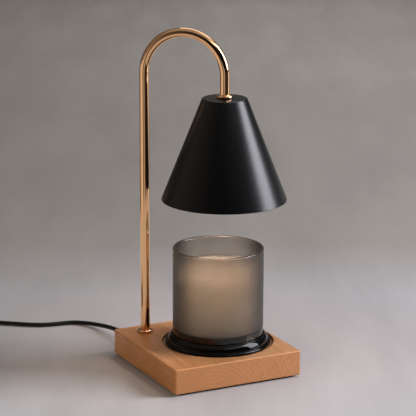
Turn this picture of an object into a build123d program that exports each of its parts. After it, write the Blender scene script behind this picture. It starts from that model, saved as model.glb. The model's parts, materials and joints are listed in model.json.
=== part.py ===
"""Candle warmer lamp: wooden base, gooseneck post, cone shade, twist-lock bulb, candle jar on a
saucer, and a mains lead with an in-line rotary dimmer. Millimetres, +Z up, origin in the middle
of the underside. One STEP file for each sub-part."""

from build123d import *
from math import atan2, cos, degrees, hypot, pi, radians, sin, sqrt, tan
import os

# Base
BASE_WIDTH = 132.0  # along X
BASE_DEPTH = 139.0  # along Y, the way the grain runs
BASE_THICKNESS = 24.0
BASE_CORNER = 2.0
BASE_EDGE = 1.2
PAD_THICKNESS = 2.0
PAD_INSET = 3.5
PAD_CORNER = 6.0
POCKET_SIDE_WALL = 2.4  # wood between the pocket and the +X side
POCKET_FRONT_WALL = 10.8  # wood between the pocket and the front
POCKET_CLEARANCE = 2.7  # round the saucer
POCKET_DEPTH = 3.0
POCKET_CHAMFER = 0.5

# Post and its fixing in the base
POST_SIDE_INSET = 24.0
POST_BACK_INSET = 21.5
TUBE_DIAMETER = 9.0
TUBE_WALL = 1.0
TUBE_DROP = 20.0  # straight length between the bend and the shade
TUBE_PAST_NUT = 0.8
COLLAR_REACH = 3.2  # how far a collar stands out from the tube
COLLAR_HEIGHT = 3.2
COLLAR_FOOT_ROUND = 1.2
COLLAR_SHOULDER = 1.4
COLLAR_CROWN = 1.0
CAVITY_DIAMETER = 26.0
CAVITY_ROOF = 5.5  # wood left above the cavity
POST_WASHER_DIAMETER = 22.0
POST_WASHER_THICKNESS = 1.2
NUT_ACROSS_FLATS = 14.0
NUT_THICKNESS = 3.5
COVER_RIM = 5.0  # wood that the cover overlaps round the cavity
COVER_THICKNESS = 1.4
COVER_SCREW_COUNT = 3
COVER_SCREW_TURN = 30.0  # degrees from +X to the first screw
COVER_SCREW_SHANK = 2.4
COVER_SCREW_HEAD = 3.8
COVER_SCREW_LENGTH = 9.0
COVER_SCREW_TIP = 1.5

# Shade
SHADE_SHIFT_X = 5.1  # shade's axis from the candle's
SHADE_SHIFT_Y = -1.9
SHADE_RIM_LIFT = 139.6  # rim above the top of the base
SHADE_HEIGHT = 97.4
SHADE_RIM_RADIUS = 59.6
SHADE_TOP_RADIUS = 21.2
SHADE_WALL = 1.2
SHADE_TOP_ROUND = 1.4
HEM_HEIGHT = 3.5
HEM_THICKNESS = 0.8

# Lampholder and its bracket
HEAD_WASHER_MARGIN = 0.5  # washer past the flats of its nut
HEAD_WASHER_THICKNESS = 1.0
BRACKET_THICKNESS = 1.2
BRACKET_WIDTH = 12.0
BRACKET_DROP = 7.8
BRACKET_NUT_ROOM = 0.12  # between a leg and the corners of the nut
BRACKET_FOOT_INSET = 0.5  # from the rim of the holder
HOLDER_SCREW_DIAMETER = 2.5
HOLDER_SCREW_HEAD = 4.4
HOLDER_SCREW_HEAD_HEIGHT = 1.6
HOLDER_SCREW_HEAD_ROUND = 0.6
HOLDER_SCREW_ROOM = 0.2  # between a head and the leg beside it
HOLDER_SCREW_EDGE = 2.7  # from a screw's axis to the rim of the holder
HOLDER_SCREW_DEPTH = 6.0
HOLDER_EDGE = 1.0
HOLDER_HEIGHT = 15.5
HOLDER_FACE = 2.6
HOLDER_WIRE_DEPTH = 5.0
CONTACT_THICKNESS = 0.5

# Bulb
PIN_SPACING = 10.0
PIN_NECK_DIAMETER = 3.0
PIN_NECK_LENGTH = 3.2
PIN_HEAD_DIAMETER = 5.0
PIN_HEAD_HEIGHT = 2.6
PIN_HEAD_CHAMFER = 0.4
PIN_SINK = 4.0  # pin inside the bulb's foot
PIN_TRAVEL = 45.0  # degrees of twist from locked to free
BULB_BASE_DIAMETER = 21.0
BULB_BASE_HEIGHT = 17.0
BULB_BASE_EDGE = 1.2
BULB_LENGTH = 54.0
BULB_DIAMETER = 50.6
BULB_RIM_HEIGHT = 3.0
BULB_RIM_PROUD = 0.8
REFLECTOR_WALL = 1.2
LENS_THICKNESS = 2.0
LENS_INSET = 0.4
CAPSULE_DIAMETER = 9.0
CAPSULE_LENGTH = 24.0
CAPSULE_FLAT = 0.4  # radius of the flat left at its tip

# Candle and saucer
SAUCER_REACH = 7.2  # from the jar out to the bead
BEAD_HEIGHT = 4.8
BEAD_DEPTH = 3.0
COVE_HEIGHT_SHARE = 0.36  # middle of the cove, up its height
COVE_WIDTH_SHARE = 0.42  # and out across its width
SAUCER_FOOT_HEIGHT = 2.4
SAUCER_FOOT_INSET = 4.0
SAUCER_COLLAR_HEIGHT = 13.8
SAUCER_COLLAR_WALL = 1.2
SAUCER_FLOOR = 3.2
JAR_DIAMETER = 87.0
JAR_HEIGHT = 92.8
JAR_WALL = 3.0
JAR_BOTTOM = 12.3
JAR_CORNER = 1.5
JAR_INNER_ROUND = 4.0
JAR_RIM_ROUND = 1.35
WAX_HEIGHT = 62.0
WICK_DIAMETER = 2.0
WICK_PROUD = 4.0
SUSTAINER_DIAMETER = 18.0
SUSTAINER_THICKNESS = 0.6
SUSTAINER_NECK_DIAMETER = 4.0
SUSTAINER_NECK_HEIGHT = 4.0

# Mains lead
CORD_DIAMETER = 4.3
CORD_EXIT_HEIGHT = 9.5
GLAND_HOLE_DIAMETER = 8.0
GLAND_LENGTH = 22.0
GLAND_FLANGE_DIAMETER = 11.0
GLAND_FLANGE_THICKNESS = 1.8
GLAND_SHANK = 8.0
RELIEF_TIP_DIAMETER = 6.0
RELIEF_GROOVES = 5
RELIEF_GROOVE_WIDTH = 1.2
RELIEF_GROOVE_DEPTH = 0.5
CORD_FLOOR_GAP = 0.15  # under a lead that lies on the floor
COIL_X = -246.0
COIL_Y = 71.3
COIL_MIDDLE_RADIUS = 24.9
COIL_TURNS_WIDE = 4
COIL_LAYERS = 2
COIL_TURN_GAP = 0.1  # between turns side by side
COIL_EDGE_SHARE = 0.8  # rounding of the coil's outline, of the lead's radius
TIE_WIDTH = 7.0
TIE_THICKNESS = 0.7
TIE_CORNER = 1.6
TIE_TURN = 60.0  # degrees from +X, seen from the middle of the coil

# In-line dimmer, lying along Y
DIMMER_X = -196.0
DIMMER_Y = 130.0
DIMMER_LENGTH = 60.0
DIMMER_WIDTH = 26.0
DIMMER_END_WIDTH = 14.0
DIMMER_HEIGHT = 18.0
DIMMER_WALL = 1.8
DIMMER_EDGE = 2.6
WHEEL_PROUD = 2.5  # wheel past each side of the case
WHEEL_THICKNESS = 4.4
WHEEL_EDGE = 0.5
WHEEL_NOTCHES = 30
NOTCH_RADIUS = 0.7
NOTCH_OFFSET = 0.2  # notch's centre outside the rim
WHEEL_GAP = 0.5
POT_DIAMETER = 14.0
POT_HEIGHT = 1.8
POT_GAP = 0.6  # under the wheel
POT_SHAFT_DIAMETER = 4.0
BOARD_THICKNESS = 1.2
BOARD_END_GAP = 0.9  # from a screw boss
BOARD_WIDTH = 13.0
BOARD_CORNER = 1.0
BOARD_RIB_PLACE = 13.0
BOARD_RIB_WIDTH = 1.6
CHIP_LENGTH = 6.0
CHIP_WIDTH = 4.0
CHIP_HEIGHT = 1.5
CHIP_PLACE_X = 2.8
CHIP_PLACE_Y = 11.5
RELIEF_LENGTH = 20.0
RELIEF_ROOT_DIAMETER = 8.4
RELIEF_NECK_DIAMETER = 6.4
RELIEF_FLANGE_DIAMETER = 9.0
RELIEF_FLANGE_THICKNESS = 1.6
LEAD_END_LENGTH = 2.0  # lead inside the case, past the relief
DIMMER_SCREW_INSET = 8.5
DIMMER_SCREW_DIAMETER = 2.2
DIMMER_SCREW_HEAD = 4.0
DIMMER_SCREW_HEAD_HEIGHT = 1.6
DIMMER_BOSS_DIAMETER = 5.2

# Plug, lying along Y
PLUG_LENGTH = 30.0
PLUG_WIDTH = 25.0
PLUG_HEIGHT = 18.0
PLUG_NECK_WIDTH = 12.0
PLUG_SHOULDER = 18.0  # from the neck to the full width
PLUG_FLARE = 0.15  # sideways slope at the neck
PLUG_EDGE = 3.0
PLUG_REACH = 35.0  # along Y, from the middle of the coil to the plug's relief
PLUG_RELIEF_STEP = 1.0  # relief's root inside the neck
PLUG_RELIEF_SINK = 4.0
BLADE_SPACING = 12.7
BLADE_WIDTH = 6.35
BLADE_THICKNESS = 1.5
BLADE_LENGTH = 17.0
BLADE_ROOT = 6.0
BLADE_HOLE_DIAMETER = 3.2
BLADE_HOLE_INSET = 4.0
BLADE_CHAMFER = 0.5

# Clearances
RUNNING_FIT = 0.05  # radial, a shaft or lead in its hole
HOLE_FIT = 0.15  # radial, a fixed piece in a drilled hole
SEAT_GAP = 0.3
PAST = 1.0  # how far a cutting tool runs past a face

# Sizes, heights and places that follow
JAR_RADIUS = JAR_DIAMETER / 2
BEAD_RADIUS = JAR_RADIUS + SAUCER_REACH
POCKET_RADIUS = BEAD_RADIUS + POCKET_CLEARANCE
CANDLE_X = BASE_WIDTH / 2 - POCKET_SIDE_WALL - POCKET_RADIUS
CANDLE_Y = POCKET_FRONT_WALL + POCKET_RADIUS - BASE_DEPTH / 2
SHADE_X = CANDLE_X + SHADE_SHIFT_X
SHADE_Y = CANDLE_Y + SHADE_SHIFT_Y
BASE_TOP = PAD_THICKNESS + BASE_THICKNESS
POCKET_FLOOR = BASE_TOP - POCKET_DEPTH
CAVITY_TOP = BASE_TOP - CAVITY_ROOF
COVER_DIAMETER = CAVITY_DIAMETER + 2 * COVER_RIM
COVER_SCREW_RADIUS = (CAVITY_DIAMETER + COVER_RIM) / 2
BACK = BASE_DEPTH / 2
POST_X = POST_SIDE_INSET - BASE_WIDTH / 2
POST_Y = BACK - POST_BACK_INSET
SHADE_RIM = BASE_TOP + SHADE_RIM_LIFT
SHADE_TOP = SHADE_RIM + SHADE_HEIGHT
BEND_START = SHADE_TOP + TUBE_DROP
REACH = hypot(SHADE_X - POST_X, SHADE_Y - POST_Y)
REACH_ANGLE = degrees(atan2(SHADE_Y - POST_Y, SHADE_X - POST_X))
POST_NUT_BOTTOM = CAVITY_TOP - POST_WASHER_THICKNESS - NUT_THICKNESS
TUBE_BOTTOM = POST_NUT_BOTTOM - TUBE_PAST_NUT
BRACKET_TOP = SHADE_TOP - SHADE_WALL
BRACKET_SPAN = 2 * (NUT_ACROSS_FLATS / sqrt(3) + BRACKET_NUT_ROOM)
HOLDER_SCREW_RADIUS = (BRACKET_SPAN / 2 + BRACKET_THICKNESS + HOLDER_SCREW_HEAD / 2
                       + HOLDER_SCREW_ROOM)
HOLDER_RADIUS = HOLDER_SCREW_RADIUS + HOLDER_SCREW_EDGE
HEAD_NUT_BOTTOM = BRACKET_TOP - BRACKET_THICKNESS - HEAD_WASHER_THICKNESS - NUT_THICKNESS
TUBE_END = HEAD_NUT_BOTTOM - TUBE_PAST_NUT
HOLDER_TOP = BRACKET_TOP - BRACKET_THICKNESS - BRACKET_DROP
HOLDER_BOTTOM = HOLDER_TOP - HOLDER_HEIGHT
BULB_TOP = HOLDER_BOTTOM - SEAT_GAP
BULB_BOTTOM = BULB_TOP - BULB_LENGTH
PIN_HEAD_BOTTOM = BULB_TOP + PIN_NECK_LENGTH
PIN_HEAD_TOP = PIN_HEAD_BOTTOM + PIN_HEAD_HEIGHT
CHANNEL_TOP = PIN_HEAD_TOP + 2 * SEAT_GAP + CONTACT_THICKNESS
JAR_FLOOR = POCKET_FLOOR + SAUCER_FLOOR
WAX_FLOOR = JAR_FLOOR + JAR_BOTTOM
WAX_TOP = WAX_FLOOR + WAX_HEIGHT
CORD_RADIUS = CORD_DIAMETER / 2
GLAND_TIP = BACK + GLAND_LENGTH
CORD_LYING = CORD_RADIUS + CORD_FLOOR_GAP
CORD_AXIS = DIMMER_HEIGHT / 2
WHEEL_RADIUS = DIMMER_WIDTH / 2 + WHEEL_PROUD
WHEEL_LOW = CORD_AXIS - WHEEL_THICKNESS / 2
WHEEL_HIGH = CORD_AXIS + WHEEL_THICKNESS / 2
BOARD_TOP = WHEEL_LOW - POT_GAP - POT_HEIGHT
BOARD_LENGTH = DIMMER_LENGTH - 2 * DIMMER_SCREW_INSET - DIMMER_BOSS_DIAMETER - 2 * BOARD_END_GAP
DIMMER_BACK = DIMMER_Y + DIMMER_LENGTH / 2
DIMMER_FRONT = DIMMER_Y - DIMMER_LENGTH / 2
COIL_PITCH = CORD_DIAMETER + COIL_TURN_GAP
COIL_LIFT = TIE_THICKNESS + SEAT_GAP
COIL_HALF_WIDTH = COIL_PITCH * (COIL_TURNS_WIDE - 1) / 2 + CORD_RADIUS
COIL_HEIGHT = COIL_PITCH * (COIL_LAYERS - 1) + CORD_DIAMETER
COIL_OUTER_TURN = COIL_MIDDLE_RADIUS + COIL_PITCH * (COIL_TURNS_WIDE - 1) / 2
COIL_LOW_LAYER = COIL_LIFT + CORD_RADIUS
COIL_TOP_LAYER = COIL_LOW_LAYER + COIL_PITCH * (COIL_LAYERS - 1)
PLUG_X = COIL_X - COIL_OUTER_TURN
PLUG_TIP = COIL_Y + PLUG_REACH
PLUG_BACK = PLUG_TIP + RELIEF_LENGTH

# Centre line of the lead from the base to the dimmer
LAMP_CORD = [
    (POST_X, GLAND_TIP, CORD_EXIT_HEIGHT),
    (-42.0, 106.0, 9.2),
    (-42.6, 121.0, 8.0),
    (-44.2, 136.0, 6.2),
    (-47.2, 151.0, 4.2),
    (-53.0, 165.5, 2.7),
    (-65.0, 176.5, CORD_LYING),
    (-81.0, 178.4, CORD_LYING),
    (-97.0, 181.2, CORD_LYING),
    (-112.0, 191.0, CORD_LYING),
    (-127.0, 203.2, CORD_LYING),
    (-142.5, 214.0, CORD_LYING),
    (-158.5, 222.0, 2.6),
    (-175.0, 222.8, 3.8),
    (-188.0, 214.0, 5.8),
    (-195.0, 200.0, 7.9),
    (DIMMER_X, DIMMER_BACK + RELIEF_LENGTH, CORD_AXIS),
]
# Centre line from the dimmer to the coil, and from the coil to the plug
MAINS_CORD = [
    (DIMMER_X, DIMMER_FRONT - RELIEF_LENGTH, CORD_AXIS),
    (-196.3, 68.0, 8.2),
    (-200.5, 56.5, 6.5),
    (-210.0, 46.5, 4.8),
    (-222.0, 40.8, 3.6),
    (COIL_X + 10.0, COIL_Y - COIL_OUTER_TURN - 0.2, COIL_LOW_LAYER),
]
PLUG_CORD = [
    (PLUG_X, COIL_Y, COIL_TOP_LAYER),
    (PLUG_X - 1.0, COIL_Y + 18.0, 8.3),
    (PLUG_X, PLUG_TIP, PLUG_HEIGHT / 2),
]


def disc(radius, bottom, top, x=0.0, y=0.0):
    """A round bar along Z between two heights."""
    return Pos(x, y, bottom) * extrude(Circle(radius), amount=top - bottom)


def ring(outer, inner, bottom, top, x=0.0, y=0.0):
    """A flat ring along Z between two heights."""
    return disc(outer, bottom, top, x, y) - disc(inner, bottom - PAST, top + PAST, x, y)


def turned(profile):
    """A profile in the X, Z plane, turned about Z."""
    return revolve(profile, Axis.Z)


def hex_nut(bottom, x, y, turn=0.0):
    """A thin hexagonal nut on the post thread."""
    sides = Rot(0, 0, turn) * RegularPolygon(NUT_ACROSS_FLATS / 2, 6, major_radius=False)
    nut = extrude(sides, amount=NUT_THICKNESS)
    nut -= disc(TUBE_DIAMETER / 2 + RUNNING_FIT, -PAST, NUT_THICKNESS + PAST)
    return Pos(x, y, bottom) * nut


def tube_collar(bottom, x, y):
    """The rounded trim ring that hides the hole round the tube."""
    inner = TUBE_DIAMETER / 2 + RUNNING_FIT
    outer, height = TUBE_DIAMETER / 2 + COLLAR_REACH, COLLAR_HEIGHT
    with BuildSketch(Plane.XZ) as section:
        with BuildLine():
            low = Line((inner, 0), (outer - COLLAR_FOOT_ROUND, 0))
            side = ThreePointArc(low @ 1, (outer, height * 0.5), (outer - COLLAR_SHOULDER, height * 0.9))
            top = ThreePointArc(side @ 1, (inner + COLLAR_CROWN, height), (inner, height * 0.94))
            Line(top @ 1, low @ 0)
        make_face()
    return Pos(x, y, bottom) * turned(section.sketch)


def wood_base():
    """The block, with the pocket for the saucer and the drilled wire cavity."""
    block = Pos(0, 0, PAD_THICKNESS) * extrude(
        RectangleRounded(BASE_WIDTH, BASE_DEPTH, BASE_CORNER), amount=BASE_THICKNESS)
    rims = block.faces().sort_by(Axis.Z)
    block = fillet(rims[0].edges() + rims[-1].edges(), BASE_EDGE)
    block -= disc(POCKET_RADIUS, POCKET_FLOOR, BASE_TOP + PAST, CANDLE_X, CANDLE_Y)
    rim = [e for e in block.edges().filter_by(GeomType.CIRCLE) if abs(e.radius - POCKET_RADIUS) < 1e-6]
    block = chamfer(max(rim, key=lambda e: e.center().Z), POCKET_CHAMFER)
    block -= disc(TUBE_DIAMETER / 2 + HOLE_FIT, 0, BASE_TOP + PAST, POST_X, POST_Y)
    block -= disc(CAVITY_DIAMETER / 2, 0, CAVITY_TOP, POST_X, POST_Y)
    cover_top = PAD_THICKNESS + COVER_THICKNESS
    block -= disc(COVER_DIAMETER / 2 + HOLE_FIT, 0, cover_top, POST_X, POST_Y)
    tunnel = Rot(-90, 0, 0) * disc(GLAND_HOLE_DIAMETER / 2 + HOLE_FIT, 0, POST_BACK_INSET + PAST)
    block -= Pos(POST_X, POST_Y, CORD_EXIT_HEIGHT) * tunnel
    screw_top = PAD_THICKNESS + COVER_SCREW_LENGTH + SEAT_GAP
    for x, y in cover_screw_places():
        block -= disc(COVER_SCREW_SHANK / 2 + RUNNING_FIT, 0, screw_top, x, y)
    return block


def base_pad():
    """The thin black pad that the base stands on."""
    return extrude(RectangleRounded(BASE_WIDTH - 2 * PAD_INSET, BASE_DEPTH - 2 * PAD_INSET,
                                    PAD_CORNER), amount=PAD_THICKNESS)


def cover_screw_places():
    """Where the screws of the cavity cover stand."""
    turns = [radians(COVER_SCREW_TURN + 360 / COVER_SCREW_COUNT * i) for i in range(COVER_SCREW_COUNT)]
    return [(POST_X + COVER_SCREW_RADIUS * cos(turn), POST_Y + COVER_SCREW_RADIUS * sin(turn))
            for turn in turns]


def cover_screw(clearance=0.0):
    """One countersunk wood screw, head down, at the origin: one turned profile."""
    head, shank = COVER_SCREW_HEAD / 2 + clearance, COVER_SCREW_SHANK / 2 + clearance
    return turned(Plane.XZ * Polygon(
        (0, 0), (head, 0), (shank, COVER_THICKNESS), (shank, COVER_SCREW_LENGTH - COVER_SCREW_TIP),
        (0, COVER_SCREW_LENGTH), align=None))


def cavity_cover():
    """The disc that closes the wire cavity from below."""
    cover = disc(COVER_DIAMETER / 2, PAD_THICKNESS, PAD_THICKNESS + COVER_THICKNESS, POST_X, POST_Y)
    for x, y in cover_screw_places():
        cover -= Pos(x, y, PAD_THICKNESS) * cover_screw(RUNNING_FIT)
    return cover


def cavity_cover_screws():
    """The three screws of the cover."""
    return Compound([Pos(x, y, PAD_THICKNESS) * cover_screw() for x, y in cover_screw_places()])


def post_washer():
    """The wide washer that spreads the nut's load on the wood."""
    return ring(POST_WASHER_DIAMETER / 2, TUBE_DIAMETER / 2 + HOLE_FIT,
                CAVITY_TOP - POST_WASHER_THICKNESS, CAVITY_TOP, POST_X, POST_Y)


def post_nut():
    """The nut that clamps the post to the base."""
    return hex_nut(POST_NUT_BOTTOM, POST_X, POST_Y)


def foot_collar():
    """The trim ring where the post enters the wood."""
    return tube_collar(BASE_TOP, POST_X, POST_Y)


def shade_collar():
    """The trim ring on top of the shade."""
    return tube_collar(SHADE_TOP, SHADE_X, SHADE_Y)


def post_path(bottom, top_end):
    """The line up the post, over the bend and down towards the shade."""
    foot, left = Vector(POST_X, POST_Y, bottom), Vector(POST_X, POST_Y, BEND_START)
    right, end = Vector(SHADE_X, SHADE_Y, BEND_START), Vector(SHADE_X, SHADE_Y, top_end)
    crown = (left + right) * 0.5 + Vector(0, 0, REACH / 2)
    return [Line(foot, left), ThreePointArc(left, crown, right), Line(right, end)]


def gooseneck_tube():
    """One bent tube, from the nut in the base to the nut in the shade."""
    path = Wire(post_path(TUBE_BOTTOM, TUBE_END))
    start = Plane(path @ 0, z_dir=path % 0)
    outer = sweep(start * Circle(TUBE_DIAMETER / 2), path)
    return outer - sweep(start * Circle(TUBE_DIAMETER / 2 - TUBE_WALL), path)


def inner_lead():
    """The lead from the gland, up the tube and down to the lampholder."""
    bend = TUBE_BOTTOM - CORD_EXIT_HEIGHT
    tip = Vector(POST_X, GLAND_TIP, CORD_EXIT_HEIGHT)
    turn_start = Vector(POST_X, POST_Y + bend, CORD_EXIT_HEIGHT)
    turn_end = Vector(POST_X, POST_Y, CORD_EXIT_HEIGHT + bend)
    middle = Vector(POST_X, POST_Y + bend * (1 - cos(pi / 4)), turn_end.Z - bend * sin(pi / 4))
    path = Wire([Line(tip, turn_start), ThreePointArc(turn_start, middle, turn_end)]
                + post_path(TUBE_BOTTOM, HOLDER_TOP - HOLDER_WIRE_DEPTH + SEAT_GAP))
    return sweep(Plane(path @ 0, z_dir=path % 0) * Circle(CORD_RADIUS), path)


def strain_relief(root_diameter, tail, steps):
    """A grooved, tapered tail from z = 0 upwards, and the round steps that hold it, bored."""
    root, tip = root_diameter / 2, RELIEF_TIP_DIAMETER / 2
    body = Cone(root, tip, tail, align=(Align.CENTER, Align.CENTER, Align.MIN))
    grip = max([0.0] + [high for _, _, high in steps])
    step = (tail - grip) / (RELIEF_GROOVES + 1)
    for i in range(RELIEF_GROOVES):
        z = grip + step * (i + 0.6)
        here = root + (tip - root) * z / tail
        body -= ring(here + PAST, here - RELIEF_GROOVE_DEPTH, z, z + RELIEF_GROOVE_WIDTH)
    for diameter, low, high in steps:
        body += disc(diameter / 2, low, high)
    return body


def lead_bore(bottom, top):
    """What the lead takes out of a relief."""
    return disc(CORD_RADIUS + RUNNING_FIT, bottom, top)


def base_cord_gland():
    """The strain relief in the back of the base."""
    body = strain_relief(GLAND_HOLE_DIAMETER, GLAND_LENGTH, [
        (GLAND_HOLE_DIAMETER, -GLAND_SHANK, 0),
        (GLAND_FLANGE_DIAMETER, 0, GLAND_FLANGE_THICKNESS)])
    body -= lead_bore(-GLAND_SHANK - PAST, GLAND_LENGTH + PAST)
    return Pos(POST_X, BACK, CORD_EXIT_HEIGHT) * Rot(-90, 0, 0) * body


def lamp_shade():
    """The spun cone with its closed top and folded rim."""
    slope = (SHADE_RIM_RADIUS - SHADE_TOP_RADIUS) / SHADE_HEIGHT
    across = SHADE_WALL * hypot(1, slope)
    under = SHADE_HEIGHT - SHADE_WALL
    hem_top = SHADE_RIM_RADIUS - slope * HEM_HEIGHT - across
    outline = Polygon(
        (0, SHADE_HEIGHT), (SHADE_TOP_RADIUS, SHADE_HEIGHT), (SHADE_RIM_RADIUS, 0),
        (SHADE_RIM_RADIUS - across - HEM_THICKNESS, 0), (hem_top - HEM_THICKNESS, HEM_HEIGHT),
        (hem_top, HEM_HEIGHT), (SHADE_RIM_RADIUS - slope * under - across, under), (0, under),
        align=None)
    edge = outline.vertices().sort_by_distance((SHADE_TOP_RADIUS, SHADE_HEIGHT))[0]
    shade = turned(Plane.XZ * fillet(edge, SHADE_TOP_ROUND))
    shade -= disc(TUBE_DIAMETER / 2 + HOLE_FIT, under - PAST, SHADE_HEIGHT + PAST)
    return Pos(SHADE_X, SHADE_Y, SHADE_RIM) * shade


def in_head(shape):
    """Turns a piece of the lamp head to face along the arm and puts it on the shade's axis."""
    return Pos(SHADE_X, SHADE_Y, 0) * Rot(0, 0, REACH_ANGLE + 90) * shape


def holder_bracket():
    """The bent strap that carries the lampholder under the shade's top."""
    half, t, top = BRACKET_SPAN / 2, BRACKET_THICKNESS, BRACKET_TOP
    reach, foot = HOLDER_RADIUS - BRACKET_FOOT_INSET, HOLDER_TOP + t
    line = [(-reach, foot), (-half - t, foot), (-half - t, top), (half + t, top),
            (half + t, foot), (reach, foot), (reach, HOLDER_TOP), (half, HOLDER_TOP),
            (half, top - t), (-half, top - t), (-half, HOLDER_TOP), (-reach, HOLDER_TOP)]
    strap = extrude(Plane.XZ * Polygon(*line, align=None), amount=BRACKET_WIDTH / 2, both=True)
    bends = [e for e in strap.edges().filter_by(Axis.Y)
             if abs(e.center().Z - top) < 1e-6 and abs(abs(e.center().X) - half - t) < 1e-6]
    strap = fillet(bends, t * 0.9)
    strap -= disc(TUBE_DIAMETER / 2 + HOLE_FIT, top - 2 * t, top + PAST)
    for x in (-HOLDER_SCREW_RADIUS, HOLDER_SCREW_RADIUS):
        strap -= disc(HOLDER_SCREW_DIAMETER / 2 + HOLE_FIT, HOLDER_TOP - PAST, foot + PAST, x)
    return in_head(strap)


def head_washer():
    """The washer between the bracket and its nut."""
    top = BRACKET_TOP - BRACKET_THICKNESS
    return ring(NUT_ACROSS_FLATS / 2 + HEAD_WASHER_MARGIN, TUBE_DIAMETER / 2 + HOLE_FIT,
                top - HEAD_WASHER_THICKNESS, top, SHADE_X, SHADE_Y)


def head_nut():
    """The nut that holds the bracket and the shade up against the collar."""
    return hex_nut(HEAD_NUT_BOTTOM, SHADE_X, SHADE_Y, REACH_ANGLE)


def pin_slot(width):
    """The plan of one arc slot, from where a pin is locked to where it is free."""
    return SlotArc(CenterArc((0, 0), PIN_SPACING / 2, 0, PIN_TRAVEL), width)


def slot_pair(plan, bottom, top):
    """A slot's plan as a solid between two heights, and its copy half a turn on."""
    slot = Pos(0, 0, bottom) * extrude(plan, amount=top - bottom)
    return [slot, Rot(0, 0, 180) * slot]


def pin_places(turn=0.0):
    """The two pin axes, turned by an angle about the bulb's own axis."""
    r = PIN_SPACING / 2
    return [(r * cos(radians(turn + half)), r * sin(radians(turn + half))) for half in (0, 180)]


def lampholder():
    """The ceramic holder: keyhole slots in its face, wider channels behind them."""
    body = disc(HOLDER_RADIUS, HOLDER_BOTTOM, HOLDER_TOP)
    body = fillet(body.edges().sort_by(Axis.Z)[0], HOLDER_EDGE)
    channel_floor = HOLDER_BOTTOM + HOLDER_FACE
    x, y = pin_places(PIN_TRAVEL)[0]
    keyhole = pin_slot(PIN_NECK_DIAMETER + 2 * SEAT_GAP)
    keyhole += Pos(x, y) * Circle(PIN_HEAD_DIAMETER / 2 + SEAT_GAP)
    body -= slot_pair(keyhole, HOLDER_BOTTOM - PAST, channel_floor)
    body -= slot_pair(pin_slot(PIN_HEAD_DIAMETER + 2 * SEAT_GAP), channel_floor, CHANNEL_TOP)
    body -= disc(CORD_RADIUS + HOLE_FIT, HOLDER_TOP - HOLDER_WIRE_DEPTH, HOLDER_TOP + PAST)
    for x in (-HOLDER_SCREW_RADIUS, HOLDER_SCREW_RADIUS):
        body -= disc(HOLDER_SCREW_DIAMETER / 2 + RUNNING_FIT,
                     HOLDER_TOP - HOLDER_SCREW_DEPTH - SEAT_GAP, HOLDER_TOP + PAST, x)
    return in_head(body)


def lampholder_contacts():
    """The two contact strips on the roof of the channels, above the pin heads."""
    plan = pin_slot(PIN_HEAD_DIAMETER - 2 * SEAT_GAP)
    return in_head(Compound(slot_pair(plan, CHANNEL_TOP - CONTACT_THICKNESS, CHANNEL_TOP)))


def holder_screws():
    """The two screws through the bracket's feet."""
    head_bottom = HOLDER_TOP + BRACKET_THICKNESS
    screw = disc(HOLDER_SCREW_DIAMETER / 2, HOLDER_TOP - HOLDER_SCREW_DEPTH, head_bottom)
    head = disc(HOLDER_SCREW_HEAD / 2, head_bottom, head_bottom + HOLDER_SCREW_HEAD_HEIGHT)
    screw += fillet(head.edges().sort_by(Axis.Z)[-1], HOLDER_SCREW_HEAD_ROUND)
    return in_head(Compound([Pos(-HOLDER_SCREW_RADIUS, 0, 0) * screw,
                             Pos(HOLDER_SCREW_RADIUS, 0, 0) * screw]))


def bulb_base():
    """The ceramic foot of the bulb."""
    foot = disc(BULB_BASE_DIAMETER / 2, BULB_TOP - BULB_BASE_HEIGHT, BULB_TOP)
    foot = fillet(foot.edges().sort_by(Axis.Z)[-1], BULB_BASE_EDGE)
    for x, y in pin_places():
        foot -= disc(PIN_NECK_DIAMETER / 2 + RUNNING_FIT, BULB_TOP - PIN_SINK, BULB_TOP + PAST, x, y)
    return in_head(foot)


def bulb_pins():
    """The two headed pins."""
    neck = disc(PIN_NECK_DIAMETER / 2, BULB_TOP - PIN_SINK, PIN_HEAD_BOTTOM)
    head = disc(PIN_HEAD_DIAMETER / 2, PIN_HEAD_BOTTOM, PIN_HEAD_TOP)
    pin = neck + chamfer(head.edges().filter_by(GeomType.CIRCLE), PIN_HEAD_CHAMFER)
    return in_head(Compound([Pos(x, y, 0) * pin for x, y in pin_places()]))


def reflector_curve(inset):
    """The parabola of the reflector as a quadratic curve, moved in by the wall."""
    neck, mouth = BULB_BASE_DIAMETER / 2 - inset, BULB_DIAMETER / 2 - BULB_RIM_PROUD - inset
    top, low = BULB_TOP - BULB_BASE_HEIGHT, BULB_BOTTOM + BULB_RIM_HEIGHT
    drop = top - low
    slope = 2 * drop * neck / (mouth ** 2 - neck ** 2)
    middle = (neck + mouth) / 2
    return [(neck, top), (middle, top - slope * (middle - neck)), (mouth, low)]


def bulb_reflector():
    """The glass reflector bowl with its straight rim."""
    outer, inner = reflector_curve(0.0), reflector_curve(REFLECTOR_WALL)
    rim = BULB_DIAMETER / 2
    with BuildSketch(Plane.XZ) as section:
        with BuildLine():
            Bezier(*outer)
            Polyline(outer[-1], (rim, outer[-1][1]), (rim, BULB_BOTTOM),
                     (inner[-1][0], BULB_BOTTOM), inner[-1])
            Bezier(*reversed(inner))
            Line(inner[0], outer[0])
        make_face()
    return in_head(turned(section.sketch))


def bulb_lens():
    """The front glass."""
    low, mouth = BULB_BOTTOM + LENS_INSET, reflector_curve(REFLECTOR_WALL)[-1][0]
    return in_head(disc(mouth - RUNNING_FIT, low, low + LENS_THICKNESS))


def bulb_capsule():
    """The sealed capsule in the middle of the reflector."""
    top = BULB_TOP - BULB_BASE_HEIGHT
    body = disc(CAPSULE_DIAMETER / 2, top - CAPSULE_LENGTH, top)
    return in_head(fillet(body.edges().sort_by(Axis.Z)[0], CAPSULE_DIAMETER / 2 - CAPSULE_FLAT))


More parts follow.
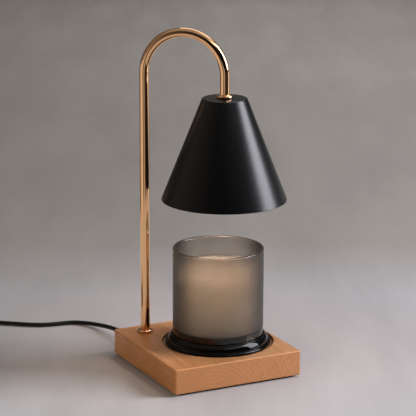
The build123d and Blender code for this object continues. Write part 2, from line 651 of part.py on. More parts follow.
def candle_saucer():
    """The glossy saucer: a foot, a round bead, and a cove that sweeps up to the jar."""
    foot, bead_low = BEAD_RADIUS - SAUCER_FOOT_INSET, SAUCER_FOOT_HEIGHT
    bead_top, collar = bead_low + BEAD_HEIGHT, SAUCER_COLLAR_HEIGHT
    wall = JAR_RADIUS + SEAT_GAP
    lip = wall + SAUCER_COLLAR_WALL
    groove = BEAD_RADIUS - BEAD_DEPTH
    cove = (lip + (groove - lip) * COVE_WIDTH_SHARE, bead_top + (collar - bead_top) * COVE_HEIGHT_SHARE)
    with BuildSketch(Plane.XZ) as section:
        with BuildLine():
            Polyline((0, SAUCER_FLOOR), (0, 0), (foot, 0), (foot, bead_low), (groove, bead_low))
            ThreePointArc((groove, bead_low), (BEAD_RADIUS, (bead_low + bead_top) / 2),
                          (groove, bead_top))
            ThreePointArc((groove, bead_top), cove, (lip, collar - SAUCER_COLLAR_WALL / 2))
            ThreePointArc((lip, collar - SAUCER_COLLAR_WALL / 2), ((lip + wall) / 2, collar),
                          (wall, collar - SAUCER_COLLAR_WALL / 2))
            Polyline((wall, collar - SAUCER_COLLAR_WALL / 2), (wall, SAUCER_FLOOR), (0, SAUCER_FLOOR))
        make_face()
    return Pos(CANDLE_X, CANDLE_Y, POCKET_FLOOR) * turned(section.sketch)


def jar_outline(radius, bottom, top, corner):
    """A turned solid with a rounded lower corner."""
    body = disc(radius, bottom, top)
    return fillet(body.edges().sort_by(Axis.Z)[0], corner)


def candle_jar():
    """The glass tumbler with its heavy bottom and fire-polished rim."""
    top = JAR_FLOOR + JAR_HEIGHT
    jar = jar_outline(JAR_RADIUS, JAR_FLOOR, top, JAR_CORNER)
    jar -= jar_outline(JAR_RADIUS - JAR_WALL, WAX_FLOOR, top + PAST, JAR_INNER_ROUND)
    rim = [e for e in jar.edges().filter_by(GeomType.CIRCLE) if abs(e.center().Z - top) < 1e-6]
    return Pos(CANDLE_X, CANDLE_Y, 0) * fillet(rim, JAR_RIM_ROUND)


def sustainer_shape(clearance=0.0):
    """The tin disc under the wick with its crimped neck, at the origin."""
    plate = disc(SUSTAINER_DIAMETER / 2 + clearance, 0, SUSTAINER_THICKNESS + clearance)
    return plate + disc(SUSTAINER_NECK_DIAMETER / 2 + clearance, 0, SUSTAINER_NECK_HEIGHT + clearance)


def wick_sustainer():
    """The sustainer, standing on the jar's bottom."""
    body = sustainer_shape() - disc(WICK_DIAMETER / 2 + RUNNING_FIT, SUSTAINER_THICKNESS,
                                    SUSTAINER_NECK_HEIGHT + PAST)
    return Pos(CANDLE_X, CANDLE_Y, WAX_FLOOR) * body


def candle_wax():
    """The wax, poured round the wick and its sustainer."""
    wax = jar_outline(JAR_RADIUS - JAR_WALL - RUNNING_FIT, WAX_FLOOR, WAX_TOP, JAR_INNER_ROUND)
    wax -= Pos(0, 0, WAX_FLOOR) * sustainer_shape(RUNNING_FIT)
    wax -= disc(WICK_DIAMETER / 2 + RUNNING_FIT, WAX_FLOOR, WAX_TOP + PAST)
    return Pos(CANDLE_X, CANDLE_Y, 0) * wax


def candle_wick():
    """The cotton wick."""
    return disc(WICK_DIAMETER / 2, WAX_FLOOR + SUSTAINER_THICKNESS, WAX_TOP + WICK_PROUD,
                CANDLE_X, CANDLE_Y)


def bend_radii(points):
    """One radius for each corner: 0.45 of its shorter run over the tangent of half its turn."""
    spots = [Vector(*p) for p in points]
    radii = []
    for before, here, after in zip(spots, spots[1:], spots[2:]):
        a, b = here - before, after - here
        radii.append(0.45 * min(a.length, b.length) / tan(radians(a.get_angle(b)) / 2))
    return radii


def cord_tube(name, points):
    """A lead lying along a route, as straight runs with tangent arcs."""
    radii = bend_radii(points)
    path = FilletPolyline(*points, radius=radii)
    tube = sweep(Plane(path @ 0, z_dir=path % 0) * Circle(CORD_RADIUS), path.wire())
    share = tube.volume / (pi * CORD_RADIUS ** 2 * path.length)
    print(f"{name}: length {path.length:.1f}, radii {[round(r) for r in radii]}, volume {share:.4f}")
    return tube


def cord_coil():
    """The outer shape of the wound spare lead."""
    coil = ring(COIL_MIDDLE_RADIUS + COIL_HALF_WIDTH, COIL_MIDDLE_RADIUS - COIL_HALF_WIDTH, COIL_LIFT,
                COIL_LIFT + COIL_HEIGHT)
    rims = coil.edges().filter_by(GeomType.CIRCLE)
    return Pos(COIL_X, COIL_Y, 0) * fillet(rims, CORD_RADIUS * COIL_EDGE_SHARE)


def coil_tie():
    """The strap round the coil's turns."""
    width, height = 2 * (COIL_HALF_WIDTH + SEAT_GAP), COIL_HEIGHT + 2 * SEAT_GAP
    outer = Box(width + 2 * TIE_THICKNESS, TIE_WIDTH, height + 2 * TIE_THICKNESS)
    outer = fillet(outer.edges().filter_by(Axis.Y), TIE_CORNER)
    strap = outer - Box(width, TIE_WIDTH + PAST, height)
    middle = COIL_LIFT + COIL_HEIGHT / 2
    return Pos(COIL_X, COIL_Y, 0) * Rot(0, 0, TIE_TURN) * Pos(COIL_MIDDLE_RADIUS, 0, middle) * strap


def at_dimmer(shape):
    """Moves a piece of the dimmer from the origin to its place on the floor."""
    return Pos(DIMMER_X, DIMMER_Y, 0) * shape


def dimmer_outline(inset):
    """The plan of the dimmer: wide round the wheel and narrow at both ends."""
    wide, narrow = DIMMER_WIDTH / 2 - inset, DIMMER_END_WIDTH / 2 - inset
    end = DIMMER_LENGTH / 2 - inset
    with BuildSketch() as plan:
        with BuildLine():
            right = ThreePointArc((narrow, -end), (wide, 0), (narrow, end))
            Line(right @ 1, (-narrow, end))
            left = ThreePointArc((-narrow, end), (-wide, 0), (-narrow, -end))
            Line(left @ 1, right @ 0)
        make_face()
    return plan.sketch


def dimmer_case():
    """The closed case, hollow, before it is cut into two shells."""
    block = extrude(dimmer_outline(0.0), amount=DIMMER_HEIGHT)
    faces = block.faces().sort_by(Axis.Z)
    block = fillet(faces[0].edges() + faces[-1].edges(), DIMMER_EDGE)
    block -= Pos(0, 0, DIMMER_WALL) * extrude(dimmer_outline(DIMMER_WALL),
                                              amount=DIMMER_HEIGHT - 2 * DIMMER_WALL)
    return block


def dimmer_screw_places():
    """The two case screws, near the ends."""
    y = DIMMER_LENGTH / 2 - DIMMER_SCREW_INSET
    return [(0, -y), (0, y)]


def dimmer_shell(upper):
    """One half of the case, with its screw bosses, its board ribs and the slots for the wheel."""
    case = dimmer_case()
    rib_top = BOARD_TOP - BOARD_THICKNESS
    for x, y in dimmer_screw_places():
        case += disc(DIMMER_BOSS_DIAMETER / 2, DIMMER_WALL / 2, DIMMER_HEIGHT - DIMMER_WALL / 2, x, y)
    for y in (-BOARD_RIB_PLACE, BOARD_RIB_PLACE):
        rib = extrude(Rectangle(BOARD_WIDTH, BOARD_RIB_WIDTH), amount=rib_top - DIMMER_WALL / 2)
        case += Pos(0, y, DIMMER_WALL / 2) * rib
    case -= disc(WHEEL_RADIUS + WHEEL_GAP, WHEEL_LOW - WHEEL_GAP, WHEEL_HIGH + WHEEL_GAP)
    hole = disc(RELIEF_NECK_DIAMETER / 2 + HOLE_FIT, DIMMER_LENGTH / 2 - 2 * DIMMER_WALL,
                DIMMER_LENGTH / 2 + PAST)
    for turn in (-90, 90):
        case -= Pos(0, 0, CORD_AXIS) * Rot(turn, 0, 0) * hole
    for x, y in dimmer_screw_places():
        case -= disc(DIMMER_SCREW_DIAMETER / 2 + RUNNING_FIT, -PAST, DIMMER_HEIGHT - DIMMER_WALL, x, y)
        case -= disc(DIMMER_SCREW_HEAD / 2 + HOLE_FIT, -PAST, DIMMER_SCREW_HEAD_HEIGHT + SEAT_GAP, x, y)
    half = extrude(Rectangle(2 * DIMMER_WIDTH, 2 * DIMMER_LENGTH), amount=CORD_AXIS)
    return at_dimmer(case & (Pos(0, 0, CORD_AXIS if upper else 0) * half))


def dimmer_lower_shell():
    """The half on the floor."""
    return dimmer_shell(False)


def dimmer_upper_shell():
    """The half on top, drawn down by the screws."""
    return dimmer_shell(True)


def dimmer_wheel():
    """The thumb wheel: a thin disc with finger notches round its rim."""
    low, high = WHEEL_LOW - PAST, WHEEL_HIGH + PAST
    wheel = disc(WHEEL_RADIUS, WHEEL_LOW, WHEEL_HIGH)
    wheel = chamfer(wheel.edges().filter_by(GeomType.CIRCLE), WHEEL_EDGE)
    notch = disc(NOTCH_RADIUS, low, high, WHEEL_RADIUS + NOTCH_OFFSET)
    wheel -= [Rot(0, 0, 360 / WHEEL_NOTCHES * i) * notch for i in range(WHEEL_NOTCHES)]
    wheel -= disc(POT_SHAFT_DIAMETER / 2 + RUNNING_FIT, low, high)
    return at_dimmer(wheel)


def dimmer_shaft():
    """The shaft that the wheel is pressed on, turning in the potentiometer."""
    return at_dimmer(disc(POT_SHAFT_DIAMETER / 2, BOARD_TOP + SEAT_GAP, WHEEL_HIGH + WHEEL_GAP))


def dimmer_potentiometer():
    """The flat potentiometer under the wheel."""
    return at_dimmer(ring(POT_DIAMETER / 2, POT_SHAFT_DIAMETER / 2 + RUNNING_FIT, BOARD_TOP,
                          BOARD_TOP + POT_HEIGHT))


def dimmer_board():
    """The circuit board, on the ribs of the lower shell."""
    outline = RectangleRounded(BOARD_WIDTH, BOARD_LENGTH, BOARD_CORNER)
    return at_dimmer(Pos(0, 0, BOARD_TOP - BOARD_THICKNESS) * extrude(outline, amount=BOARD_THICKNESS))


def dimmer_components():
    """The low parts soldered on the board, in two pairs."""
    chip = extrude(Rectangle(CHIP_WIDTH, CHIP_LENGTH), amount=CHIP_HEIGHT)
    return at_dimmer(Compound([Pos(x, y, BOARD_TOP) * chip for x in (-CHIP_PLACE_X, CHIP_PLACE_X)
                               for y in (-CHIP_PLACE_Y, CHIP_PLACE_Y)]))


def dimmer_screws():
    """The two screws that close the case from below."""
    top = DIMMER_HEIGHT - 2 * DIMMER_WALL
    screw = disc(DIMMER_SCREW_DIAMETER / 2, SEAT_GAP + DIMMER_SCREW_HEAD_HEIGHT, top)
    screw += disc(DIMMER_SCREW_HEAD / 2, SEAT_GAP, SEAT_GAP + DIMMER_SCREW_HEAD_HEIGHT)
    return at_dimmer(Compound([Pos(x, y, 0) * screw for x, y in dimmer_screw_places()]))


def at_dimmer_ends(shape):
    """Two copies of a piece, its axis along Z from z = 0 at the case's end, one at each end."""
    away = Pos(0, 0, DIMMER_LENGTH / 2) * shape
    return at_dimmer(Pos(0, 0, CORD_AXIS) * Compound([Rot(-90, 0, 0) * away, Rot(90, 0, 0) * away]))


def dimmer_reliefs():
    """The two rubber strain reliefs, held by their flanges inside the case."""
    body = strain_relief(RELIEF_ROOT_DIAMETER, RELIEF_LENGTH, [
        (RELIEF_NECK_DIAMETER, -DIMMER_WALL, 0),
        (RELIEF_FLANGE_DIAMETER, -DIMMER_WALL - RELIEF_FLANGE_THICKNESS, -DIMMER_WALL)])
    return at_dimmer_ends(body - lead_bore(-DIMMER_LENGTH, RELIEF_LENGTH + PAST))


def dimmer_lead_ends():
    """The ends of both leads, through the reliefs into the case."""
    inside = DIMMER_WALL + RELIEF_FLANGE_THICKNESS + LEAD_END_LENGTH
    return at_dimmer_ends(disc(CORD_RADIUS, -inside, RELIEF_LENGTH))


def plug_body():
    """The moulded plug, with a waist towards the lead and its own strain relief."""
    wide, neck = PLUG_WIDTH / 2, PLUG_NECK_WIDTH / 2
    with BuildSketch() as plan:
        with BuildLine():
            right = Spline((neck, 0), (wide, PLUG_SHOULDER), tangents=[(PLUG_FLARE, 1), (0, 1)])
            left = Spline((-wide, PLUG_SHOULDER), (-neck, 0), tangents=[(0, -1), (PLUG_FLARE, -1)])
            Polyline(right @ 1, (wide, PLUG_LENGTH), (-wide, PLUG_LENGTH), left @ 0)
            Line(left @ 1, right @ 0)
        make_face()
    body = extrude(plan.sketch, amount=PLUG_HEIGHT)
    faces = body.faces().sort_by(Axis.Z)
    body = fillet(faces[0].edges() + faces[-1].edges(), PLUG_EDGE)
    for x in (-BLADE_SPACING / 2, BLADE_SPACING / 2):
        body -= Pos(x, PLUG_LENGTH, PLUG_HEIGHT / 2) * Box(
            BLADE_THICKNESS + 2 * RUNNING_FIT, 2 * BLADE_ROOT, BLADE_WIDTH + 2 * RUNNING_FIT)
    root = neck - PLUG_RELIEF_STEP
    relief = strain_relief(2 * root, RELIEF_LENGTH, [(2 * root, -PLUG_RELIEF_SINK, 0)])
    body += Pos(0, 0, PLUG_HEIGHT / 2) * Rot(90, 0, 0) * relief
    return Pos(PLUG_X, PLUG_BACK, 0) * body


def plug_blades():
    """The two flat blades with their holes."""
    length = BLADE_ROOT + BLADE_LENGTH
    blade = Pos(0, length / 2, 0) * Box(BLADE_THICKNESS, length, BLADE_WIDTH)
    blade = chamfer(blade.faces().sort_by(Axis.Y)[-1].edges(), BLADE_CHAMFER)
    hole = Rot(0, 90, 0) * Cylinder(BLADE_HOLE_DIAMETER / 2, BLADE_WIDTH)
    blade -= Pos(0, length - BLADE_HOLE_INSET, 0) * hole
    root = PLUG_BACK + PLUG_LENGTH - BLADE_ROOT
    return Compound([Pos(PLUG_X + x, root, PLUG_HEIGHT / 2) * blade
                     for x in (-BLADE_SPACING / 2, BLADE_SPACING / 2)])


def lamp_cord():
    """The lead from the base to the dimmer."""
    return cord_tube("lamp_cord", LAMP_CORD)


def mains_cord():
    """The lead from the dimmer to the coil."""
    return cord_tube("mains_cord", MAINS_CORD)


def plug_cord():
    """The lead from the coil to the plug."""
    return cord_tube("plug_cord", PLUG_CORD)


PIECES = [
    wood_base, base_pad, cavity_cover, cavity_cover_screws, post_washer, post_nut, foot_collar,
    gooseneck_tube, inner_lead, base_cord_gland, shade_collar, lamp_shade, holder_bracket,
    head_washer, head_nut, lampholder, lampholder_contacts, holder_screws, bulb_base, bulb_pins,
    bulb_reflector, bulb_lens, bulb_capsule, candle_saucer, candle_jar, candle_wax, candle_wick,
    wick_sustainer, lamp_cord, dimmer_lower_shell, dimmer_upper_shell, dimmer_wheel, dimmer_shaft,
    dimmer_potentiometer, dimmer_board, dimmer_components, dimmer_screws, dimmer_reliefs,
    dimmer_lead_ends, mains_cord, cord_coil, coil_tie, plug_cord, plug_body, plug_blades,
]

os.makedirs("parts", exist_ok=True)
for piece in PIECES:
    export_step(piece(), f"parts/{piece.__name__}.step")
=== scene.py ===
"""Candle warmer lamp: visible surfaces, finishes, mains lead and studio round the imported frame.

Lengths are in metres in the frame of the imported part: +Z up, origin in the middle of the
underside. Each shape is a profile turned round an axis, or a section carried along a path."""

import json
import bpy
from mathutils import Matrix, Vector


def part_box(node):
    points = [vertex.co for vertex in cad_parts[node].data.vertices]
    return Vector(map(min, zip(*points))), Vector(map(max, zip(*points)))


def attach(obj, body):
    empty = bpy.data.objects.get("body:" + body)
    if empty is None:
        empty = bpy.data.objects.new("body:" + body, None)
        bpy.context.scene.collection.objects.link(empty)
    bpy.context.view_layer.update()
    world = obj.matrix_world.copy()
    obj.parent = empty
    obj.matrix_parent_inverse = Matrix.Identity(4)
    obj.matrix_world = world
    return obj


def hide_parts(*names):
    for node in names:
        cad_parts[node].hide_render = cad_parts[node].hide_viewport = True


bl_info = {
    "name": "Candle Warmer Lamp",
    "version": (1, 0, 0),
    "blender": (4, 5, 0),
    "location": "3D View > Sidebar > Candle Lamp",
    "description": "Builds the surfaces, finishes, lead and studio of a candle warmer lamp",
    "category": "Add Mesh",
}

from functools import cache
from math import cos, pi, radians, sin, tau

import bmesh
import bpy
import numpy as np
from bpy.props import FloatProperty, FloatVectorProperty, IntProperty, PointerProperty
from mathutils import Quaternion, Vector

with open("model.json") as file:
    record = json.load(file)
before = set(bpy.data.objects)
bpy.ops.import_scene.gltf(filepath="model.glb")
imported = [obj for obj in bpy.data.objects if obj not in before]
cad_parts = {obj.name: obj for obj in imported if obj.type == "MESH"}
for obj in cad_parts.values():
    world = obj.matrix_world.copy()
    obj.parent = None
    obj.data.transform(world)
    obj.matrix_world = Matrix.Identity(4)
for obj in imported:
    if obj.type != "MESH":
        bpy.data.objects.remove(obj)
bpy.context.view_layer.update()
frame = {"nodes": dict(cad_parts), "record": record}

MM = 0.001


def middle(node):
    """The middle of a CAD node's box, in plan."""
    low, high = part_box(node)
    return (low.x + high.x) / 2, (low.y + high.y) / 2


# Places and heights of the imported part
POST = middle("foot_collar")
SHADE_AXIS = middle("shade_collar")
CANDLE_AXIS = middle("candle_saucer")
BASE_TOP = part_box("foot_collar")[0].z
SHADE_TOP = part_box("shade_collar")[0].z
SHADE_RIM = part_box("lamp_shade")[0].z
TUBE_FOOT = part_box("gooseneck_tube")[0].z
SAUCER_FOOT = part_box("candle_saucer")[0].z
JAR_FOOT, JAR_TOP = (corner.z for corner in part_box("candle_jar"))
WAX_FOOT, WAX_TOP = (corner.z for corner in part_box("candle_wax"))
WICK_FOOT, WICK_TOP = (corner.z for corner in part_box("candle_wick"))

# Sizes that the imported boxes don't give
TUBE_WALL = 1.0 * MM
TUBE_STRAIGHT_DROP = 20.0 * MM  # between the bend and the top of the shade
TUBE_END = 255.3 * MM
COLLAR_BORE = 4.55 * MM
COLLAR_FOOT_IN, COLLAR_SHOULDER_IN = 1.2 * MM, 1.4 * MM  # in from its widest part
COLLAR_CROWN = 1.0 * MM  # its highest point, out from the bore
COLLAR_SHOULDER, COLLAR_LIP = 0.90, 0.94  # shares of its height
SHADE_WALL = 1.2 * MM
SHADE_ACROSS = 1.29 * MM  # the wall, measured level
SHADE_HOLE = 4.65 * MM
SHADE_TOP_ROUND = 1.4 * MM
HEM_HEIGHT = 3.5 * MM
HEM_THICKNESS = 0.8 * MM
HEM_ROUND = 0.35 * MM
# Painted shade: inside these radii the pocket's wall is darkened near black
POCKET_WALL = (53.5 * MM, 54.5 * MM)  # the finish changes between these, from the candle's axis
SAUCER_INSETS = (4.0 * MM, 2.0 * MM, 2.3 * MM)  # foot, underside and groove, in from the bead
SAUCER_HEIGHTS = (1.4 * MM, 4.6 * MM, 11.2 * MM)  # the bead's foot and top, and the lip's foot
SAUCER_SHOULDER = (0.70, 0.56)  # its middle: shares of the way out and up from lip and groove
SAUCER_FOOT_ROUND = 0.5 * MM
SAUCER_LIP = (1.2 * MM, 0.6 * MM)  # width, and height of its crown
SAUCER_FLOOR, SAUCER_FLOOR_ROUND = 3.2 * MM, 0.6 * MM  # above its foot
JAR_GAP = 0.3 * MM  # between the saucer's wall and the jar
JAR_CORNER = 1.5 * MM
JAR_INNER_ROUND = 4.0 * MM
JAR_RIM_ROUND = 1.35 * MM
ETCHING_STARTS = (WAX_FOOT + 1.0 * MM, WAX_FOOT + 5.0 * MM)  # heights
ETCHING_ENDS = (JAR_TOP - 2.6 * MM, JAR_TOP - 1.6 * MM)
LIP_STARTS = (JAR_TOP - 0.9 * MM, JAR_TOP - 0.3 * MM)
WAX_ROOM = 0.05 * MM  # left round the wax, the wick and the sustainer
SUSTAINER_NECK = (2.0 * MM, 4.0 * MM)  # radius, and height above the jar's floor
SUSTAINER_PLATE = (9.0 * MM, 0.6 * MM)
MENISCUS = 0.5 * MM
MENISCUS_REACH = (1.5 * MM, 1.0 * MM)  # from the glass, and from the wick
WICK_MENISCUS = 0.6  # of the height at the glass
HAIR = 0.01 * MM  # keeps two points of an outline apart
WICK_LOBE = 0.16  # share of the radius
WICK_LAY = 5.0 * MM  # height in which the braid turns by a lobe
WICK_ENDS = (0.1 * MM, 0.6 * MM)  # heights in which its foot and its tip close
WICK_LEAN = 0.12
CORD_DIAMETER = 4.3 * MM

# The lead: routes of its centre line, as in the part's source
LYING = 2.3
LAMP_CORD = [
    (-42.0, 91.5, 9.5), (-42.0, 106.0, 9.2), (-42.6, 121.0, 8.0), (-44.2, 136.0, 6.2),
    (-47.2, 151.0, 4.2), (-53.0, 165.5, 2.7), (-65.0, 176.5, LYING), (-81.0, 178.4, LYING),
    (-97.0, 181.2, LYING), (-112.0, 191.0, LYING), (-127.0, 203.2, LYING),
    (-142.5, 214.0, LYING), (-158.5, 222.0, 2.6), (-175.0, 222.8, 3.8), (-188.0, 214.0, 5.8),
    (-195.0, 200.0, 7.9), (-196.0, 180.0, 9.0),
]
MAINS_CORD = [
    (-196.0, 80.0, 9.0), (-196.3, 68.0, 8.2), (-200.5, 56.5, 6.5), (-210.0, 46.5, 4.8),
    (-222.0, 40.8, 3.6), (-236.0, 39.6, 3.15),
]
PLUG_CORD = [(-278.5, 89.3, 8.3), (-277.5, 106.3, 9.0)]
COIL_PLACE = (-246.0, 71.3)
COIL_OUTER = 31.5  # radius of the outermost turn
COIL_PITCH = 4.4
COIL_LOW = 3.15
COIL_HIGH = 7.55
COIL_STEPS = 16  # route points for each turn
COIL_TURNS = 7.25
# Turns at which the coil steps sideways by one pitch (-1 inwards, 1 outwards)
COIL_INWARD = (0.75, 1.75, 2.75)
COIL_OUTWARD = (4.25, 5.25, 6.25)
COIL_CLIMB = 3.5
COIL_STEP_LENGTH = 0.25  # of a turn

CAMERA_PLACE = (-0.7960, -1.5872, 0.6093)
CAMERA_TARGET = (0.0016, -0.0004, 0.1569)
CAMERA_ROLL = 0.19
CAMERA_LENS = 167.4
ROOM_BEARING = radians(-116.2)  # the front of the room, where the lamp is seen from, from +X

# Soft boxes: power, tint, size, distance, degrees right of the camera and up, shows in gloss
LIT_POINT = (0, 0, 0.12)
SOFT_BOXES = {
    "key_soft_box": ("key_power", (0.965, 0.965, 1.05), (0.95, 1.50), 2.0, 91, 27, True),
    "top_soft_box": ("top_power", (0.94, 0.98, 1.06), (1.5, 1.2), 2.1, 165, 52, True),
    "front_soft_box": ("fill_power", (1.0, 0.88, 0.72), (1.2, 0.9), 1.8, -28, 13, False),
}
GLOW_ACROSS = 64 * MM
GLOW_ASIDE = 12.0 * MM  # left of the shade's axis
GLOW_UNDER_GLASS = 1.0 * MM
GLOW_TINT = (1.0, 0.68, 0.46)
AMBIENT_TINT = (1.08, 0.97, 0.84)
SEEN_THROUGH_GLASS = (0.62, 0.56, 0.50)

# What reflections see round the room: (degrees from its front, colour or grey)
WALLS = ((-180, (0.13, 0.12, 0.11)), (-130, (0.05, 0.045, 0.04)), (-100, (0.24, 0.20, 0.17)),
         (-60, (0.16, 0.14, 0.12)), (-30, 0.004), (70, (0.004, 0.004, 0.005)),
         (100, (0.03, 0.03, 0.035)), (150, 0.06), (180, (0.13, 0.12, 0.11)))
CEILING = ((40, (0.34, 0.32, 0.30)), (75, (0.95, 0.95, 0.97)), (110, (0.95, 0.95, 0.97)),
           (150, (0.30, 0.28, 0.26)))
WINDOW = ((12, 0), (28, 1), (85, 1), (95, 0))
WINDOW_LIGHT = 3.2
# What reflections see of the floor, painted as a glow that only glossy rays see: an even paper near
# the lamp, and bands by bearing farther off
FLOOR_NEAR_BY = (0.46, 0.43, 0.41)
FLOOR_FAR_OFF = (
    (-122, 0.04), (-110, (0.42, 0.38, 0.35)), (-90, (0.46, 0.42, 0.39)),
    (-60, (0.66, 0.59, 0.54)), (-46, (0.66, 0.59, 0.54)), (-39, (0.09, 0.08, 0.07)),
    (-25, (0.09, 0.08, 0.07)), (-18, (0.34, 0.31, 0.30)), (2, (0.34, 0.31, 0.30)),
    (9, (0.03, 0.025, 0.02)), (56, (0.03, 0.025, 0.02)), (62, 0.004), (84, 0.004),
    (94, (0.95, 0.90, 0.88)), (112, (0.80, 0.76, 0.74)), (126, (0.30, 0.28, 0.27)),
    (150, (0.25, 0.24, 0.23)), (180, 0.04))


# --- properties

def length(label, about, default):
    """A length in metres."""
    return FloatProperty(name=label, description=about, default=default, min=0.0,
                         subtype="DISTANCE", unit="LENGTH", precision=5)


def colour(label, about, default):
    """A linear colour."""
    return FloatVectorProperty(name=label, description=about, default=default, size=3, min=0.0,
                               max=1.0, subtype="COLOR")


def amount(label, about, default, high=1.0):
    """A plain number from 0 to high."""
    return FloatProperty(name=label, description=about, default=default, min=0.0, max=high)


class LampSizes(bpy.types.PropertyGroup):
    """Sizes of the lamp's own surfaces."""
    tube_diameter: length("Tube diameter", "Outside of the gooseneck tube", 9.0 * MM)
    collar_reach: length("Collar reach", "How far a trim ring stands out from the tube", 3.2 * MM)
    collar_height: length("Collar height", "Height of a trim ring", 3.2 * MM)
    shade_rim_radius: length("Shade rim radius", "Outside radius at the rim", 59.6 * MM)
    shade_top_radius: length("Shade top radius", "Radius of the flat top", 21.2 * MM)
    saucer_radius: length("Saucer radius", "Radius over the bead", 50.7 * MM)
    jar_radius: length("Jar radius", "Outside radius of the glass", 43.5 * MM)
    jar_wall: length("Jar wall", "Thickness of the glass", 3.0 * MM)
    wick_diameter: length("Wick diameter", "Across the braid", 2.0 * MM)
    turned_steps: IntProperty(name="Turned steps", description="Faces round a turned piece",
                              default=192, min=24, max=512)


class LampFinishes(bpy.types.PropertyGroup):
    """Colours of the lamp's finishes."""
    wood_light: colour("Light wood", "Early wood of the block", (0.830, 0.412, 0.192))
    wood_dark: colour("Dark wood", "Late wood and pores", (0.635, 0.288, 0.113))
    gold: colour("Rose gold", "Plating of the tube and rings", (0.89, 0.53, 0.285))
    shade_black: colour("Shade black", "Powder coat of the shade", (0.0030, 0.0030, 0.0036))
    glaze_black: colour("Glaze black", "Glaze of the saucer", (0.002, 0.002, 0.002))
    smoke: colour("Smoke", "Tint inside the jar's glass", (0.56, 0.50, 0.44))
    smoke_density: amount("Smoke density", "How fast the glass darkens", 300.0, 5000.0)
    wax: colour("Wax", "The candle", (0.84, 0.72, 0.56))


class LampStudio(bpy.types.PropertyGroup):
    """Strengths of the studio's lights, and the colour of its floor."""
    key_power: amount("Key light", "Power of the soft box on the right, in watts", 46.0, 200.0)
    fill_power: amount("Front light", "Power of the soft box beside the camera, in watts", 8.5,
                       200.0)
    top_power: amount("Top light", "Power of the panel above and behind, in watts", 7.5, 200.0)
    glow_power: amount("Bulb glow", "Power of the dimmed bulb, in watts", 0.146, 20.0)
    ambient: amount("Ambient", "Strength of the light from all round", 0.10, 5.0)
    floor: colour("Floor", "Pale paper under the lamp", (0.565, 0.543, 0.545))
    # Painted light and shade on the flat floor: rise is a painted shade band behind the lamp, where
    # a backdrop would start to rise, and the backdrop colour is painted light, a lit paper far
    # behind
    rise: colour("Rise", "The paper where it starts to rise behind the lamp", (0.377, 0.348, 0.316))
    painted_lit_backdrop: colour("Backdrop", "The paper far behind the lamp", (0.975, 0.908, 0.832))
    background: colour("Background", "What shows above the horizon", (0.27, 0.245, 0.23))


# --- shapes

def in_scene(name, data):
    """A new object, linked to the scene."""
    made = bpy.data.objects.new(name, data)
    bpy.context.scene.collection.objects.link(made)
    return made


def arc(start, via, end, steps=12):
    """Points of the circle through three points, from start to end: the centre is where two
    perpendicular bisectors meet, and the angle runs evenly on the side that holds via."""
    a, b, c = (np.array(p, float) for p in (start, via, end))
    rows = 2 * np.array([b - a, c - a])
    centre = np.linalg.solve(rows, [b @ b - a @ a, c @ c - a @ a])
    turn = [np.arctan2(*(p - centre)[::-1]) for p in (a, b, c)]
    to_via, to_end = (turn[1] - turn[0]) % tau, (turn[2] - turn[0]) % tau
    sweep = to_end if to_via <= to_end else to_end - tau
    angle = turn[0] + sweep * np.linspace(0, 1, steps + 1)
    radius = np.linalg.norm(a - centre)
    return centre + radius * np.stack([np.cos(angle), np.sin(angle)], axis=1)


def rounded(corners, steps=8):
    """An open outline of (x, y, radius) corners: each inner corner with a radius gives an arc that
    touches both of its sides, radius / tan(half the corner's angle) away from it."""
    points = [corners[0][:2]]
    for before, here, after in zip(corners, corners[1:], corners[2:]):
        spot = np.array(here[:2], float)
        to_before, to_after = (np.array(p[:2], float) - spot for p in (before, after))
        to_before /= np.linalg.norm(to_before)
        to_after /= np.linalg.norm(to_after)
        radius = here[2] if len(here) > 2 else 0.0
        if not radius:
            points.append(spot)
            continue
        half = np.arccos(np.clip(to_before @ to_after, -1, 1)) / 2
        bisector = (to_before + to_after) / np.linalg.norm(to_before + to_after)
        centre = spot + bisector * radius / np.sin(half)
        reach = radius / np.tan(half)
        points += list(arc(spot + to_before * reach, centre - bisector * radius,
                           spot + to_after * reach, steps))
    return np.array(points + [corners[-1][:2]], float)


def skin(name, rings, closed=False, sharp=40.0):
    """A mesh from an array of rings (ring, point, 3): each point joins its neighbour in the ring
    and the same point of the next ring. The last ring joins the first if closed. Rings whose points
    meet become one pole. Edges sharper than an angle in degrees stay sharp."""
    rows, columns = rings.shape[:2]
    number = np.arange(rows * columns).reshape(rows, columns)
    if closed:
        number = np.vstack([number, number[:1]])
    here, above = number[:-1], number[1:]
    quads = np.stack([here, np.roll(here, -1, 1), np.roll(above, -1, 1), above], -1).reshape(-1, 4)
    mesh = bpy.data.meshes.new(name)
    mesh.from_pydata(rings.reshape(-1, 3), [], quads)
    shell = bmesh.new()
    shell.from_mesh(mesh)
    bmesh.ops.remove_doubles(shell, verts=shell.verts, dist=1e-7)
    bmesh.ops.recalc_face_normals(shell, faces=shell.faces)
    shell.to_mesh(mesh)
    shell.free()
    mesh.shade_smooth()
    mesh.set_sharp_from_angle(angle=radians(sharp))
    return in_scene(name, mesh)


def turned(name, profile, axis, steps, closed=False, sharp=40.0):
    """A profile of (radius, height) points turned about a vertical axis: x = axis + radius * cos,
    y = axis + radius * sin, at even angles."""
    angle = np.linspace(0, tau, steps, endpoint=False)
    profile = np.asarray(profile, float)
    radius, height = profile[:, :1], profile[:, 1:]
    rings = np.stack([axis[0] + radius * np.cos(angle), axis[1] + radius * np.sin(angle),
                      np.broadcast_to(height, (len(profile), steps))], axis=-1)
    return skin(name, rings, closed, sharp)


def tube_along(name, centre, tangent, side, outer, inner, steps):
    """A tube along a flat path: circles outside from start to end, then inside and back. A circle's
    points are centre + r * (cos * side + sin * (tangent x side))."""
    up = np.cross(tangent, side)
    angle = np.linspace(0, tau, steps, endpoint=False)[None, :, None]
    around = np.cos(angle) * side[None, None, :] + np.sin(angle) * up[:, None, :]
    outside = centre[:, None, :] + outer * around
    inside = centre[:, None, :] + inner * around
    return skin(name, np.concatenate([outside, inside[::-1]]), closed=True)


